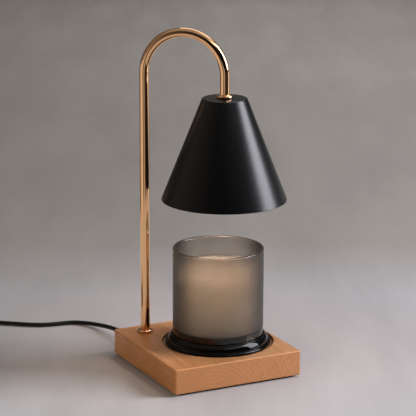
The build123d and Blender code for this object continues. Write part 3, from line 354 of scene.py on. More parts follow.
def bent_post(name, tube_diameter, steps=64):
    """The gooseneck: straight up the post, a half circle towards the shade and straight down."""
    post, shade = np.array([*POST, 0.0]), np.array([*SHADE_AXIS, 0.0])
    reach = np.linalg.norm(shade - post)
    along = (shade - post) / reach
    bend_start = SHADE_TOP + TUBE_STRAIGHT_DROP
    turn = np.linspace(0, pi, 121)
    rise = np.linspace(TUBE_FOOT, bend_start, 41)[:-1]
    drop = np.linspace(bend_start, TUBE_END, 9)[1:]
    angle = np.concatenate([np.zeros_like(rise), turn, np.full_like(drop, pi)])
    away = reach / 2 * (1 - np.cos(angle))
    height = np.concatenate([rise, bend_start + reach / 2 * np.sin(turn), drop])
    centre = post + away[:, None] * along
    centre[:, 2] = height
    tangent = np.sin(angle)[:, None] * along + np.cos(angle)[:, None] * np.array([0, 0, 1.0])
    side = np.array([-along[1], along[0], 0.0])
    outer = tube_diameter / 2
    return tube_along(name, centre, tangent, side, outer, outer - TUBE_WALL, steps)


def collar_profile(size, bottom):
    """A rounded trim ring: a flat foot, a quarter-round side and a low crown up to the tube."""
    outer, height = size.tube_diameter / 2 + size.collar_reach, size.collar_height
    shoulder = (outer - COLLAR_SHOULDER_IN, height * COLLAR_SHOULDER)
    side = arc((outer - COLLAR_FOOT_IN, 0), (outer, height / 2), shoulder, 16)
    crown, lip = (COLLAR_BORE + COLLAR_CROWN, height), (COLLAR_BORE, height * COLLAR_LIP)
    return np.vstack([[(COLLAR_BORE, 0)], side, arc(shoulder, crown, lip, 8)[1:]]) + (0, bottom)


def shade_profile(rim, top):
    """The spun cone: flat top with a hole, rounded shoulder, straight side, rolled rim with a
    folded hem, and the inside back up to the hole."""
    height = SHADE_TOP - SHADE_RIM
    slope = (rim - top) / height
    inner_rim, under = rim - SHADE_ACROSS, height - SHADE_WALL
    fold = inner_rim - slope * HEM_HEIGHT
    points = rounded([
        (SHADE_HOLE, height), (top, height, SHADE_TOP_ROUND), (rim, 0, HEM_ROUND),
        (inner_rim - HEM_THICKNESS, 0, HEM_ROUND), (fold - HEM_THICKNESS, HEM_HEIGHT, HEM_ROUND),
        (fold, HEM_HEIGHT), (inner_rim - slope * under, under), (SHADE_HOLE, under)])
    return points + (0, SHADE_RIM)


def saucer_profile(size):
    """The saucer: flat foot, low half-round bead, groove, a slightly rounded shoulder up to the
    jar, rounded lip, and the floor that the jar stands on."""
    bead, wall = size.saucer_radius, size.jar_radius + JAR_GAP
    foot, under, groove = (bead - inset for inset in SAUCER_INSETS)
    low, high, top = SAUCER_HEIGHTS
    lip, crown = wall + SAUCER_LIP[0], top + SAUCER_LIP[1]
    out, up = SAUCER_SHOULDER
    shoulder = (lip + (groove - lip) * out, high + (top - high) * up)
    points = np.vstack([
        rounded([(0, 0), (foot, 0, SAUCER_FOOT_ROUND), (foot, low), (under, low)]),
        arc((under, low), (bead, (low + high) / 2), (groove, high), 24)[1:],
        arc((groove, high), shoulder, (lip, top), 24)[1:],
        arc((lip, top), ((lip + wall) / 2, crown), (wall, top), 10)[1:],
        rounded([(wall, top), (wall, SAUCER_FLOOR, SAUCER_FLOOR_ROUND), (0, SAUCER_FLOOR)])[1:]])
    return points + (0, SAUCER_FOOT)


def jar_profile(size):
    """The tumbler: heavy bottom, straight wall, fire-polished rim and rounded inside corner."""
    outer, inner = size.jar_radius, size.jar_radius - size.jar_wall
    return rounded([
        (0, JAR_FOOT), (outer, JAR_FOOT, JAR_CORNER), (outer, JAR_TOP, JAR_RIM_ROUND),
        (inner, JAR_TOP, JAR_RIM_ROUND), (inner, WAX_FOOT, JAR_INNER_ROUND), (0, WAX_FOOT)], 12)


def wax_profile(size):
    """The wax: it climbs a little at the glass and round the wick, and leaves room for the wick's
    tin disc at its foot."""
    outer = size.jar_radius - size.jar_wall - WAX_ROOM
    bore = size.wick_diameter / 2 + WAX_ROOM
    neck, plate = SUSTAINER_NECK[0] + WAX_ROOM, SUSTAINER_PLATE[0] + WAX_ROOM
    neck_top, plate_top = (WAX_FOOT + part[1] + WAX_ROOM
                           for part in (SUSTAINER_NECK, SUSTAINER_PLATE))
    floor = WAX_FOOT + WAX_ROOM
    body = rounded([
        (bore, neck_top), (neck, neck_top), (neck, plate_top), (plate, plate_top),
        (plate, floor), (outer, floor, JAR_INNER_ROUND), (outer, WAX_TOP - HAIR)])
    share = np.linspace(1, 0, 49)[:, None]
    radius = bore + (outer - bore) * share
    at_glass, at_wick = MENISCUS_REACH
    sag = MENISCUS * (1 - np.exp((radius - outer) / at_glass)
                      - WICK_MENISCUS * np.exp((bore - radius) / at_wick))
    return np.vstack([body, np.hstack([radius, WAX_TOP - np.maximum(sag, 0)])])


def braided_wick(name, diameter, steps=36):
    """The wick: a three-lobed section, radius * (1 - lobe + lobe * |cos(1.5 * angle)|), that turns
    as it rises, leans a little above the wax and closes in a point."""
    height = np.linspace(0, 1, 121)[:, None]
    angle = np.linspace(0, tau, steps, endpoint=False)[None, :]
    rise = WICK_FOOT + (WICK_TOP - WICK_FOOT) * height
    twist = rise / WICK_LAY * tau / 3
    foot, tip = WICK_ENDS
    end = np.clip((WICK_TOP - rise) / tip, 0, 1) * np.clip((rise - WICK_FOOT) / foot, 0, 1)
    lobes = 1 - WICK_LOBE + WICK_LOBE * np.abs(np.cos(1.5 * (angle - twist)))
    section = diameter / 2 * lobes * np.sqrt(end)
    lean = WICK_LEAN * np.clip(rise - WAX_TOP, 0, None)
    rings = np.stack([CANDLE_AXIS[0] + lean + section * np.cos(angle),
                      CANDLE_AXIS[1] + section * np.sin(angle),
                      np.broadcast_to(rise, section.shape)], axis=-1)
    return skin(name, rings, sharp=80.0)


def eased(turn, start):
    """0 before a turn count, 1 a quarter of a turn later, and smooth between."""
    share = np.clip((turn - start) / COIL_STEP_LENGTH, 0, 1)
    return share * share * (3 - 2 * share)


def coil_route():
    """The wound part of the lead: a circle whose radius steps in by a pitch once a turn on the
    lower layer, climbs to the upper layer, and steps out again. Each point is moved out by
    1 / cos(half its step) because the spline cuts inside its points."""
    turn = np.arange(1, int(COIL_TURNS * COIL_STEPS) + 1) / COIL_STEPS
    steps = sum(eased(turn, at) for at in COIL_OUTWARD) - sum(eased(turn, at) for at in COIL_INWARD)
    radius = (COIL_OUTER + COIL_PITCH * steps) / cos(pi / COIL_STEPS)
    height = COIL_LOW + (COIL_HIGH - COIL_LOW) * eased(turn, COIL_CLIMB)
    angle = -pi / 2 - tau * turn
    return np.stack([COIL_PLACE[0] + radius * np.cos(angle),
                     COIL_PLACE[1] + radius * np.sin(angle), height], axis=1)


def lead(name, route):
    """A round lead whose centre line is a spline with the route's points, in millimetres."""
    curve = bpy.data.curves.new(name, "CURVE")
    curve.dimensions = "3D"
    curve.bevel_depth = CORD_DIAMETER / 2
    curve.bevel_resolution = 5
    curve.use_fill_caps = True
    spline = curve.splines.new("NURBS")
    spline.points.add(len(route) - 1)
    weighted = np.hstack([np.asarray(route, float) * MM, np.ones((len(route), 1))])
    spline.points.foreach_set("co", weighted.astype(np.float32).ravel())
    spline.order_u = 3
    spline.use_endpoint_u = True
    spline.resolution_u = 8
    return in_scene(name, curve)


# --- finishes

NOISE_SPAN = (0.3, 0.7)  # most of a noise lies between these


def new_material(name, **constants):
    """A material with one shader, and that shader's constant inputs by their names."""
    material = bpy.data.materials.new(name)
    material.use_nodes = True
    body = material.node_tree.nodes["Principled BSDF"]
    for socket, value in constants.items():
        body.inputs[socket.replace("_", " ")].default_value = value
    return material, material.node_tree, body


def opaque(shade):
    """A colour, or a grey given as one number, with full alpha."""
    return (*((shade,) * 3 if isinstance(shade, (int, float)) else shade), 1.0)


def wire(node, **outputs):
    """Links outputs to a node's inputs, by the inputs' names."""
    for socket, value in outputs.items():
        node.id_data.links.new(value, node.inputs[socket.replace("_", " ")])


def add(kind, inputs, tree=None, **settings):
    """Adds a node and gives its outputs. inputs maps a socket's name or number to a value or to the
    output it takes, and the node goes into that output's tree if none is named."""
    linked = [key for key, value in inputs.items() if isinstance(value, bpy.types.NodeSocket)]
    if tree is None:
        tree = inputs[linked[0]].id_data
    made = tree.nodes.new("ShaderNode" + kind)
    for key, value in settings.items():
        setattr(made, key, value)
    for key, value in inputs.items():
        socket = made.inputs[key]
        if key in linked:
            tree.links.new(value, socket)
        else:
            socket.default_value = opaque(value) if socket.type == "RGBA" else value
    return made.outputs


def placed(tree, scale=(1, 1, 1), location=(0, 0, 0), rotation=(0, 0, 0)):
    """The object's own coordinates, stretched, moved and turned."""
    return add("Mapping", {"Vector": add("TexCoord", {}, tree)["Object"], "Scale": scale,
                           "Location": location, "Rotation": rotation})[0]


def noise(vector, scale, detail=3.0, rough=0.55, distortion=0.0):
    """Noise of so many lumps per metre, from 0 to 1."""
    return add("TexNoise", {"Vector": vector, "Scale": scale, "Detail": detail,
                            "Roughness": rough, "Distortion": distortion})[0]


def ramp(factor, *stops):
    """Colours or greys by a factor; each stop is (place, colour)."""
    made = add("ValToRGB", {"Fac": factor})
    elements = made[0].node.color_ramp.elements
    while len(elements) < len(stops):
        elements.new(1.0)
    for element, (place, shade) in zip(elements, stops):
        element.position = place
        element.color = opaque(shade)
    return made[0]


def spread(value, low, high, to_low=0.0, to_high=1.0, kind="LINEAR"):
    """Maps a value from one range to another."""
    return add("MapRange", {"Value": value, 1: low, 2: high, 3: to_low, 4: to_high},
               interpolation_type=kind)[0]


def varied(value, low, high):
    """A value from low to high by a noise."""
    return spread(value, *NOISE_SPAN, low, high)


def toned(value, dark, light):
    """A colour from dark to light by a noise."""
    return ramp(value, *zip(NOISE_SPAN, (dark, light)))


def maths(operation, first, second=0.5):
    """One sum of two values."""
    return add("Math", {0: first, 1: second}, operation=operation)[0]


def plus(first, second):
    """Two values added."""
    return maths("ADD", first, second)


def times(first, second):
    """Two values multiplied."""
    return maths("MULTIPLY", first, second)


def mixed(factor, first, second, blend="MIX"):
    """Two colours mixed by a factor."""
    return add("Mix", {0: factor, 6: first, 7: second}, data_type="RGBA", blend_type=blend)[2]


def tinted(first, second):
    """Two colours multiplied."""
    return mixed(1.0, first, second, "MULTIPLY")


def relief(body, height, depth, strength=1.0):
    """Bump of a depth in metres."""
    wire(body, Normal=add("Bump", {"Height": height, "Distance": depth, "Strength": strength})[0])


def surface(factor, body, other):
    """Ends a material in its shader and another, mixed by a factor."""
    both = add("MixShader", {0: factor, 1: body.outputs[0], 2: other})[0]
    wire(both.id_data.nodes["Material Output"], Surface=both)


def shaded(colour_value, factor):
    """A colour made lighter or darker."""
    return tuple(min(1.0, part * factor) for part in colour_value)


def grained(name, dark, light, rough, scale, depth=0.0, stretch=(1, 1, 1), fine=6.0, **constants):
    """A finish whose colour, sheen and relief vary by noise in the object's own space: broad noise
    for the colour, and noise so many times finer for the sheen and the relief."""
    material, tree, body = new_material(name, **constants)
    vector = placed(tree, stretch)
    broad = noise(vector, scale)
    small = noise(vector, scale * fine, 2.0)
    wire(body, Base_Color=toned(broad, dark, light), Roughness=varied(small, *rough))
    if depth:
        relief(body, small, depth)
    return material


def beech(colours):
    """Oiled beech, its grain along Y: growth rings about an axis below the block and left of its
    middle, which arch on the sawn ends, stretched fibre streaks, short dark flecks, fine pores, and
    broad drifts of tone. The sawn ends are evener and specked. The pocket's wall is painted near
    black as shade, the edges along the ends carry a painted highlight line, and the sides and the
    ends are darker than the top: partly oiled end grain, partly painted shade for how light falls."""
    material, tree, body = new_material("beech_oiled", Specular_IOR_Level=0.45)
    light, dark = colours.wood_light, colours.wood_dark
    rings = add("TexWave", {
        "Vector": placed(tree, (1, 0.10, 1), (0.030, 0.0, 0.020)), "Scale": 80.0,
        "Distortion": 5.5, "Detail": 3.0, "Detail Scale": 2.0, "Detail Roughness": 0.6},
        wave_type="RINGS", rings_direction="Y")[1]
    streaks = noise(placed(tree, (1, 0.03, 1)), 1100.0, 4.0, 0.6)
    wide_streaks = noise(placed(tree, (1, 0.05, 1)), 320.0, 4.0, 0.6, 0.4)
    drift = noise(placed(tree, (1, 0.4, 1)), 26.0, 2.0)
    flecks = noise(placed(tree, (1, 0.16, 1)), 1250.0, 1.0, 0.4)
    pores = noise(placed(tree), 2600.0, 2.0, 0.7)
    specks = noise(placed(tree), 1050.0, 2.0, 0.6)
    faces = add("SeparateXYZ", {0: add("NewGeometry", {}, tree)["Normal"]})
    endwise = maths("ABSOLUTE", faces[1])
    sawn = spread(endwise, 0.6, 0.95)
    sanded = spread(faces[2], 0.5, 0.95)
    tone = times(rings, 0.012)
    for share, part in ((0.40, streaks), (0.28, wide_streaks), (0.28, drift)):
        tone = plus(tone, times(part, share))
    evened = plus(0.243, times(tone, 0.45))
    evened = plus(evened, times(rings, 0.034))
    evened = plus(evened, varied(specks, -0.045, 0.045))
    tone = mixed(sawn, tone, evened)
    base = ramp(tone, (0.36, shaded(dark, 0.94)), (0.46, dark), (0.56, light),
                (0.68, shaded(light, 1.06)))
    base = mixed(spread(flecks, 0.62, 0.74, 0.0, 0.30, "SMOOTHSTEP"), base, shaded(dark, 0.66))
    base = mixed(spread(pores, 0.55, 0.75, 0.0, 0.20), base, shaded(dark, 0.75))
    # Painted shade: faces that are not the top, within the pocket's radius, go near black
    from_candle = add("VectorMath", {
        0: placed(tree, (1, 1, 0), (-CANDLE_AXIS[0], -CANDLE_AXIS[1], 0))},
        operation="LENGTH")[1]
    painted_pocket_shade = times(spread(from_candle, *POCKET_WALL, 0.92, 0.0), maths("SUBTRACT", 1.0, sanded))
    base = mixed(painted_pocket_shade, base, shaded(dark, 0.03))
    # Painted highlight: a light line where the end faces round over into the top
    painted_edge_highlight = times(endwise, faces[2])
    base = mixed(spread(painted_edge_highlight, 0.30, 0.48, 0.0, 0.55), base, shaded(light, 1.2))
    # Sides and ends darker than the top: partly oil on end grain, partly painted shade for how
    # light falls
    oil_and_painted_shade = ramp(sawn, (0.0, (0.77, 0.66, 0.48)), (1.0, (0.85, 0.82, 0.79)))
    oil_and_painted_shade = mixed(sanded, oil_and_painted_shade, 1.0)
    wire(body, Base_Color=tinted(base, oil_and_painted_shade), Roughness=varied(streaks, 0.27, 0.38))
    relief(body, plus(streaks, pores), 0.00004, 0.6)
    return material


def rose_gold(colours):
    """Polished plating: nearly even colour, faint cloudy wear and very fine polishing lines."""
    material, tree, body = new_material("rose_gold_plate", Metallic=1.0)
    cloud = noise(placed(tree), 60.0, 3.0)
    lines = noise(placed(tree, (1, 1, 0.06)), 2200.0, 2.0)
    gold = ramp(cloud, (0.25, shaded(colours.gold, 0.95)), (0.75, shaded(colours.gold, 1.04)))
    wire(body, Base_Color=gold, Roughness=varied(lines, 0.07, 0.12))
    relief(body, lines, 0.000002, 0.4)
    return material


def satin_black(colours):
    """Powder coat: fine orange-peel relief and a slightly uneven sheen."""
    black = colours.shade_black
    return grained("satin_black_coat", shaded(black, 0.85), shaded(black, 1.2), (0.26, 0.31), 120.0,
                   0.00002, fine=18.0, Specular_IOR_Level=0.44)


def black_glaze(colours):
    """Poured glaze: deep black and very smooth, with a slow wave."""
    material, tree, body = new_material("black_glaze_gloss", Specular_IOR_Level=0.22)
    black = colours.glaze_black
    slow = noise(placed(tree), 70.0, 2.0)
    wire(body, Base_Color=toned(slow, black, shaded(black, 1.6)),
         Roughness=varied(slow, 0.05, 0.09))
    relief(body, slow, 0.0003, 0.3)
    return material


def smoked_glass(colours):
    """Smoked glass, etched on its wall, clear at the rim and in the bottom, its lip a little darker
    and glossier: the height of a point sets how rough and how dark it is, fine noise breaks the
    etching up, the glass darkens where it is seen at a slant, and the tint grows with the depth of
    glass that light crosses. The glass is painted lighter towards its foot and darker towards its
    rim, painted light and shade that evens out the wax's glow under the bulb. Shadow rays pass it
    dimmed."""
    material, tree, body = new_material("smoked_etched_glass", IOR=1.5, Specular_IOR_Level=0.2)
    place = placed(tree)
    height = add("SeparateXYZ", {0: place})[2]
    above = spread(height, *ETCHING_STARTS, kind="SMOOTHSTEP")
    below = spread(height, *ETCHING_ENDS, 1.0, 0.0, "SMOOTHSTEP")
    etching = noise(place, 1500.0, 3.0, 0.7)
    roughness = times(times(above, below), varied(etching, 0.37, 0.45))
    cloud = noise(place, 90.0, 2.0)
    shade = toned(cloud, (0.70, 0.67, 0.65), (0.78, 0.75, 0.73))
    facing = add("LayerWeight", {"Blend": 0.5}, tree)["Facing"]
    slant_and_painted_height_shade = ramp(facing, (0.14, 1.0), (0.36, 0.47), (0.58, 0.17), (0.9, 0.07))
    # Painted light and shade: lighter towards the foot, darker towards the rim, evening out the
    # wax's glow
    slant_and_painted_height_shade = tinted(slant_and_painted_height_shade, spread(height, WAX_FOOT, JAR_TOP, 1.65, 0.72))
    lip = spread(height, *LIP_STARTS)
    wire(body, Base_Color=mixed(lip, tinted(shade, slant_and_painted_height_shade), (0.34, 0.31, 0.29)),
         Roughness=plus(roughness, 0.02),
         Specular_IOR_Level=spread(lip, 0.0, 1.0, 0.06, 1.0),
         Transmission_Weight=maths("SUBTRACT", 1.0, times(lip, 0.06)))
    smoke = add("VolumeAbsorption", {"Color": colours.smoke, "Density": colours.smoke_density},
                tree)[0]
    wire(tree.nodes["Material Output"], Volume=smoke)
    through = add("BsdfTransparent", {"Color": (0.50, 0.49, 0.49)}, tree)[0]
    surface(add("LightPath", {}, tree)["Is Shadow Ray"], body, through)
    return material


def cream_wax(colours):
    """Poured wax: soft light under the surface, pale frost patches and a slight skin."""
    material, tree, body = new_material(
        "cream_wax_poured", Subsurface_Weight=1.0, Subsurface_Radius=(1.0, 0.97, 0.94),
        Subsurface_Scale=0.200, Specular_IOR_Level=0.4)
    frost = noise(placed(tree), 110.0, 4.0, 0.6)
    wax = ramp(frost, (0.3, shaded(colours.wax, 0.95)), (0.75, shaded(colours.wax, 1.06)))
    wire(body, Base_Color=wax, Roughness=varied(frost, 0.42, 0.55))
    relief(body, noise(placed(tree), 700.0, 2.0), 0.00008, 0.5)
    return material


def circuit_laminate(colours):
    """Green laminate with paler copper tracks under the lacquer, from a brick pattern."""
    material, tree, body = new_material("green_laminate", Coat_Weight=0.3, Coat_Roughness=0.15)
    tracks = add("TexBrick", {
        "Vector": placed(tree), "Scale": 260.0, "Mortar Size": 0.035, "Mortar Smooth": 0.1,
        "Color1": (0.02, 0.11, 0.035), "Color2": (0.018, 0.09, 0.03),
        "Mortar": (0.07, 0.20, 0.08)})[0]
    weave = noise(placed(tree), 2400.0, 2.0)
    wire(body, Base_Color=tracks, Roughness=varied(weave, 0.3, 0.5))
    return material


def woven_strap(colours):
    """Strap cloth: two crossed waves for the weave, and lint."""
    material, tree, body = new_material("woven_black_strap", Sheen_Weight=0.3)
    place = placed(tree, rotation=(0, 0, radians(-60)))
    waves = [add("TexWave", {"Vector": place, "Scale": 260.0, "Distortion": 0.4, "Detail": 1.0},
                 bands_direction=way)[1] for way in ("X", "Y")]
    weave = times(*waves)
    lint = noise(place, 1800.0, 2.0)
    wire(body, Roughness=varied(lint, 0.75, 0.9),
         Base_Color=ramp(plus(weave, lint), (0.3, 0.008), (0.6, 0.030)))
    relief(body, weave, 0.0002, 0.8)
    return material


def pressed_lens(colours):
    """Clear cover glass with small round lenses pressed into it."""
    material, tree, body = new_material("pressed_cover_glass", Transmission_Weight=1.0, IOR=1.5)
    cells = add("TexVoronoi", {"Vector": placed(tree), "Scale": 330.0}, feature="SMOOTH_F1")[0]
    haze = noise(placed(tree), 500.0, 2.0)
    wire(body, Base_Color=toned(haze, 0.88, 0.95), Roughness=varied(haze, 0.03, 0.08))
    relief(body, cells, 0.0005, 0.5)
    return material


def cotton(colours):
    """Waxed cotton: strands that wind up the wick."""
    material, tree, body = new_material("waxed_cotton", Sheen_Weight=0.2)
    strands = noise(placed(tree, (1, 1, 0.2)), 4000.0, 3.0)
    wire(body, Base_Color=toned(strands, (0.62, 0.55, 0.44), (0.85, 0.79, 0.68)),
         Roughness=varied(strands, 0.6, 0.85))
    relief(body, strands, 0.00015, 0.8)
    return material


def plain(*sizes, **options):
    """A grained finish that takes none of the lamp's chosen colours."""
    return lambda colours: grained(*sizes, **options)


# By slot. A plain one gives its name, dark and light tones, roughness, lumps per metre and depth.
FINISHES = {
    "beech_wood": beech,
    "gold_metal": rose_gold,
    "black_shade": satin_black,
    "black_glaze": black_glaze,
    "smoke_glass": smoked_glass,
    "cream_wax": cream_wax,
    "circuit_board": circuit_laminate,
    "clear_glass": pressed_lens,
    "wick_cotton": cotton,
    "woven_strap": woven_strap,
    "base_pad": plain("foam_rubber", 0.010, 0.022, (0.8, 0.95), 900.0, 0.0002, fine=2.0),
    "zinc_steel": plain("zinc_plate", (0.50, 0.51, 0.52), (0.66, 0.66, 0.65), (0.25, 0.4), 350.0,
                        0.00001, stretch=(1, 1, 0.3), Metallic=1.0),
    "white_ceramic": plain("bisque_ceramic", (0.68, 0.66, 0.61), (0.80, 0.78, 0.73), (0.55, 0.75),
                           500.0, 0.00005),
    "contact_brass": plain("spring_brass", (0.58, 0.42, 0.18), (0.72, 0.55, 0.26), (0.25, 0.4),
                           300.0, Metallic=1.0),
    "reflector_glass": plain("metallised_reflector", (0.72, 0.73, 0.74), (0.84, 0.84, 0.83),
                             (0.06, 0.14), 260.0, 0.0003, fine=1.0, Metallic=1.0),
    "tin_plate": plain("tin_plate_spangle", (0.60, 0.60, 0.58), (0.74, 0.74, 0.72), (0.2, 0.35),
                       600.0, Metallic=1.0),
    "black_cord": plain("cord_sheath", 0.005, 0.010, (0.40, 0.50), 500.0, 0.00003,
                        Specular_IOR_Level=0.16),
    "black_plastic": plain("sparked_black_plastic", 0.016, 0.026, (0.45, 0.62), 400.0, 0.00006,
                           fine=7.0),
    "grey_dial": plain("satin_dial_plastic", 0.075, 0.10, (0.35, 0.5), 350.0, 0.00003),
    "chip_black": plain("moulded_chip", 0.018, 0.034, (0.5, 0.7), 900.0, 0.00004),
}
SLOT_OF = {row["node"]: row["material_slot"] for row in frame["record"]["subparts"]}


@cache
def finish(kind):
    """The material of a kind of finish, made once."""
    return FINISHES[kind](bpy.context.scene.lamp_finishes)


def fit(piece, body, *nodes, kind=None):
    """Gives a new piece the finish of the slot of the nodes it stands for, hides those nodes, and
    puts it on a body.
    """
    slot = SLOT_OF[nodes[0]]
    piece.data.materials.append(finish(kind or slot))
    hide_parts(*nodes)
    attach(piece, body)
    return piece


def dress(*nodes, kind=None):
    """Gives CAD nodes that stay the finish of their slot."""
    for node in nodes:
        for holder in frame["nodes"][node].material_slots:
            holder.material = finish(kind or SLOT_OF[node])


# --- studio

def bearing(right_of_camera, elevation):
    """The direction from the lamp that lies so many degrees right of the camera, and so high."""
    angle, rise = ROOM_BEARING + radians(right_of_camera), radians(elevation)
    return Vector((cos(angle) * cos(rise), sin(angle) * cos(rise), sin(rise)))


def area_light(name, shape, power, tint, size):
    """A flat lamp of a shape, a power in watts, a tint and a size (across, up)."""
    light = bpy.data.lights.new(name, "AREA")
    light.shape = shape
    light.size, light.size_y = size
    light.energy = power
    light.color = tint
    return in_scene(name, light)


def put_at(thing, place, look, roll=0.0):
    """Puts a lamp or the camera at a place, looking along a direction."""
    thing.location = place
    thing.rotation_mode = "QUATERNION"
    thing.rotation_quaternion = look.to_track_quat("-Z", "Y") @ Quaternion((0, 0, 1), radians(roll))


def soft_box(name, power, tint, size, distance, right_of_camera, elevation, in_gloss):
    """A rectangular lamp that faces the piece from a bearing."""
    box = area_light(name, "RECTANGLE", power, tint, size)
    away = bearing(right_of_camera, elevation)
    put_at(box, Vector(LIT_POINT) + away * distance, -away)
    box.visible_glossy = in_gloss


def make_camera():
    """The camera, at the lamp's viewing angle."""
    camera = bpy.data.cameras.new("view_camera")
    camera.sensor_width = 36.0
    camera.lens = CAMERA_LENS
    camera.clip_start, camera.clip_end = 0.05, 50.0
    holder = in_scene("view_camera", camera)
    put_at(holder, CAMERA_PLACE, Vector(CAMERA_TARGET) - Vector(CAMERA_PLACE), CAMERA_ROLL)
    bpy.context.scene.camera = holder


def round_the_room(vector):
    """A direction or place in the room's own axes, X to the front of the room, and its bearing
    round the room: 0 is the back wall, 0.5 the front, 1 the back wall again."""
    turned_round = add("VectorRotate", {
        "Vector": vector, "Angle": -ROOM_BEARING}, rotation_type="Z_AXIS")[0]
    parts = add("SeparateXYZ", {0: turned_round})
    angle = maths("ARCTAN2", parts[1], parts[0])
    return parts, spread(angle, -pi, pi)


def by_bearing(share, *stops):
    """Colours by bearing, each stop being (degrees round from the front of the room, colour)."""
    return ramp(share, *[((place + 180) / 360, shade) for place, shade in stops])


def make_world(studio):
    """Even light from all round. By bearing and height, reflections see a dark room with walls that
    are paler behind the lamp and on its left, a pale ceiling, and a band of windows under it."""
    world = bpy.data.worlds.new("studio_room")
    bpy.context.scene.world = world
    world.use_nodes = True
    tree = world.node_tree
    parts, share = round_the_room(add("TexCoord", {}, tree)["Generated"])
    high = spread(parts[2], 0.45, 0.85, kind="SMOOTHSTEP")
    room = mixed(high, by_bearing(share, *WALLS), by_bearing(share, *CEILING))
    sill = spread(parts[2], 0.68, 0.70)
    head = spread(parts[2], 0.76, 0.78, 1.0, 0.0)
    pane = times(times(sill, head), WINDOW_LIGHT)
    window = tinted(by_bearing(share, *WINDOW), pane)
    room = mixed(1.0, room, window, "ADD")
    rays = add("LightPath", {}, tree)
    ambient = [studio.ambient * part for part in AMBIENT_TINT]
    seen = mixed(rays["Is Transmission Ray"], ambient, SEEN_THROUGH_GLASS)
    seen = mixed(rays["Is Glossy Ray"], seen, room)
    seen = mixed(rays["Is Camera Ray"], seen, studio.background)
    wire(tree.nodes["Background"], Color=seen)


def make_floor(studio):
    """A wide round floor of pale paper with a very faint mottle. Its colour holds painted light and
    shade: lighter just in front of the lamp as a painted pool of light, a painted shade band behind
    it where a backdrop would start to rise (the floor stays flat), lighter far behind as a painted
    lit backdrop, and a painted shadow on the left. Reflections see an even paper near the lamp,
    and farther off light and dark bands round the room."""
    floor = turned("studio_floor", [(far, 0) for far in np.linspace(0, 7.0, 9)], (0, 0), 96)
    material, tree, body = new_material("pale_floor_paper", Specular_IOR_Level=0.2)
    place = placed(tree)
    parts, share = round_the_room(place)
    cloud_place = add("CombineXYZ", {0: times(parts[0], 0.22), 1: parts[1]})[0]
    mottle = noise(cloud_place, 12.0, 4.0, 0.6)
    near, rise, painted_lit_far_paper = studio.floor, studio.rise, studio.painted_lit_backdrop
    # Painted light: the paper just in front of the lamp is lifted as a pool of light
    painted_pool_of_light = [part * lift for part, lift in zip(near, (1.12, 1.16, 1.18))]
    behind = spread(parts[0], 0.26, -2.34)
    # Painted shade and light by distance behind the lamp: a darker band where a backdrop would
    # rise, then a lit paper far off
    paper = ramp(behind, (0.045, painted_pool_of_light), (0.10, shaded(near, 1.03)),
                 (0.127, shaded(near, 0.97)), (0.19, shaded(near, 0.97)),
                 (0.27, shaded(rise, 1.10)), (0.42, shaded(rise, 1.08)),
                 (0.58, shaded(rise, 1.30)), (0.80, shaded(painted_lit_far_paper, 0.73)), (1.0, painted_lit_far_paper))
    paper = tinted(paper, ramp(mottle, (0.38, 0.91), (0.62, 1.02)))
    # Painted shadow: the paper darkens on the left, where the lamp's shadow falls
    left = spread(parts[1], 0.15, -0.50)
    painted_shadow_left = ramp(behind, (0.10, 0.0), (0.125, 0.30), (0.16, 0.26), (0.6, 0.45))
    paper = mixed(times(left, painted_shadow_left), paper, (0.27, 0.235, 0.205))
    wire(body, Base_Color=paper, Roughness=varied(mottle, 0.75, 0.85))
    distance = add("VectorMath", {0: place}, operation="LENGTH")["Value"]
    far_off = spread(distance, 0.56, 0.68, kind="SMOOTHSTEP")
    reflected = mixed(far_off, FLOOR_NEAR_BY, by_bearing(share, *FLOOR_FAR_OFF))
    mirrored = times(spread(distance, 0.12, 0.24, kind="SMOOTHSTEP"),
                     add("LightPath", {}, tree)["Is Glossy Ray"])
    surface(mirrored, body, add("Emission", {"Color": reflected, "Strength": 1.25})[0])
    floor.data.materials.append(material)


def bulb_glow(power):
    """The dimmed bulb: a warm disc just under its cover glass, a little left of it, facing down."""
    disc = area_light("bulb_glow", "DISK", power, GLOW_TINT, (GLOW_ACROSS, GLOW_ACROSS))
    below = Vector((*SHADE_AXIS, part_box("bulb_lens")[0].z - GLOW_UNDER_GLASS))
    disc.location = below + bearing(-90, 0) * GLOW_ASIDE


class CANDLELAMP_OT_stage(bpy.types.Operator):
    """Set up the camera, the floor, the soft boxes and the room"""
    bl_idname = "candle_lamp.stage"
    bl_label = "Stage"

    def execute(self, context):
        studio = context.scene.lamp_studio
        context.scene.view_settings.view_transform = "Standard"
        make_camera()
        make_world(studio)
        make_floor(studio)
        for name, (power, *rest) in SOFT_BOXES.items():
            soft_box(name, getattr(studio, power), *rest)
        bulb_glow(studio.glow_power)
        return {"FINISHED"}


# --- the lamp

class CANDLELAMP_OT_mains_lead(bpy.types.Operator):
    """Lay the lead to the dimmer, and the wound lead to the plug"""
    bl_idname = "candle_lamp.mains_lead"
    bl_label = "Mains lead"

    def execute(self, context):
        near = fit(lead("lamp_lead", LAMP_CORD), "stand", "lamp_cord")
        route = MAINS_CORD + [tuple(point) for point in coil_route()] + PLUG_CORD
        far = fit(lead("mains_lead", route), "stand", "mains_cord", "cord_coil", "plug_cord")
        dress("base_cord_gland", "inner_lead")
        dress("coil_tie", kind="woven_strap")
        return {"FINISHED"}


class CANDLELAMP_OT_base(bpy.types.Operator):
    """Finish the wooden block, its pad and what closes its cavity"""
    bl_idname = "candle_lamp.base"
    bl_label = "Base"

    def execute(self, context):
        dress("wood_base", "base_pad", "cavity_cover", "cavity_cover_screws", "post_washer",
              "post_nut")
        return {"FINISHED"}


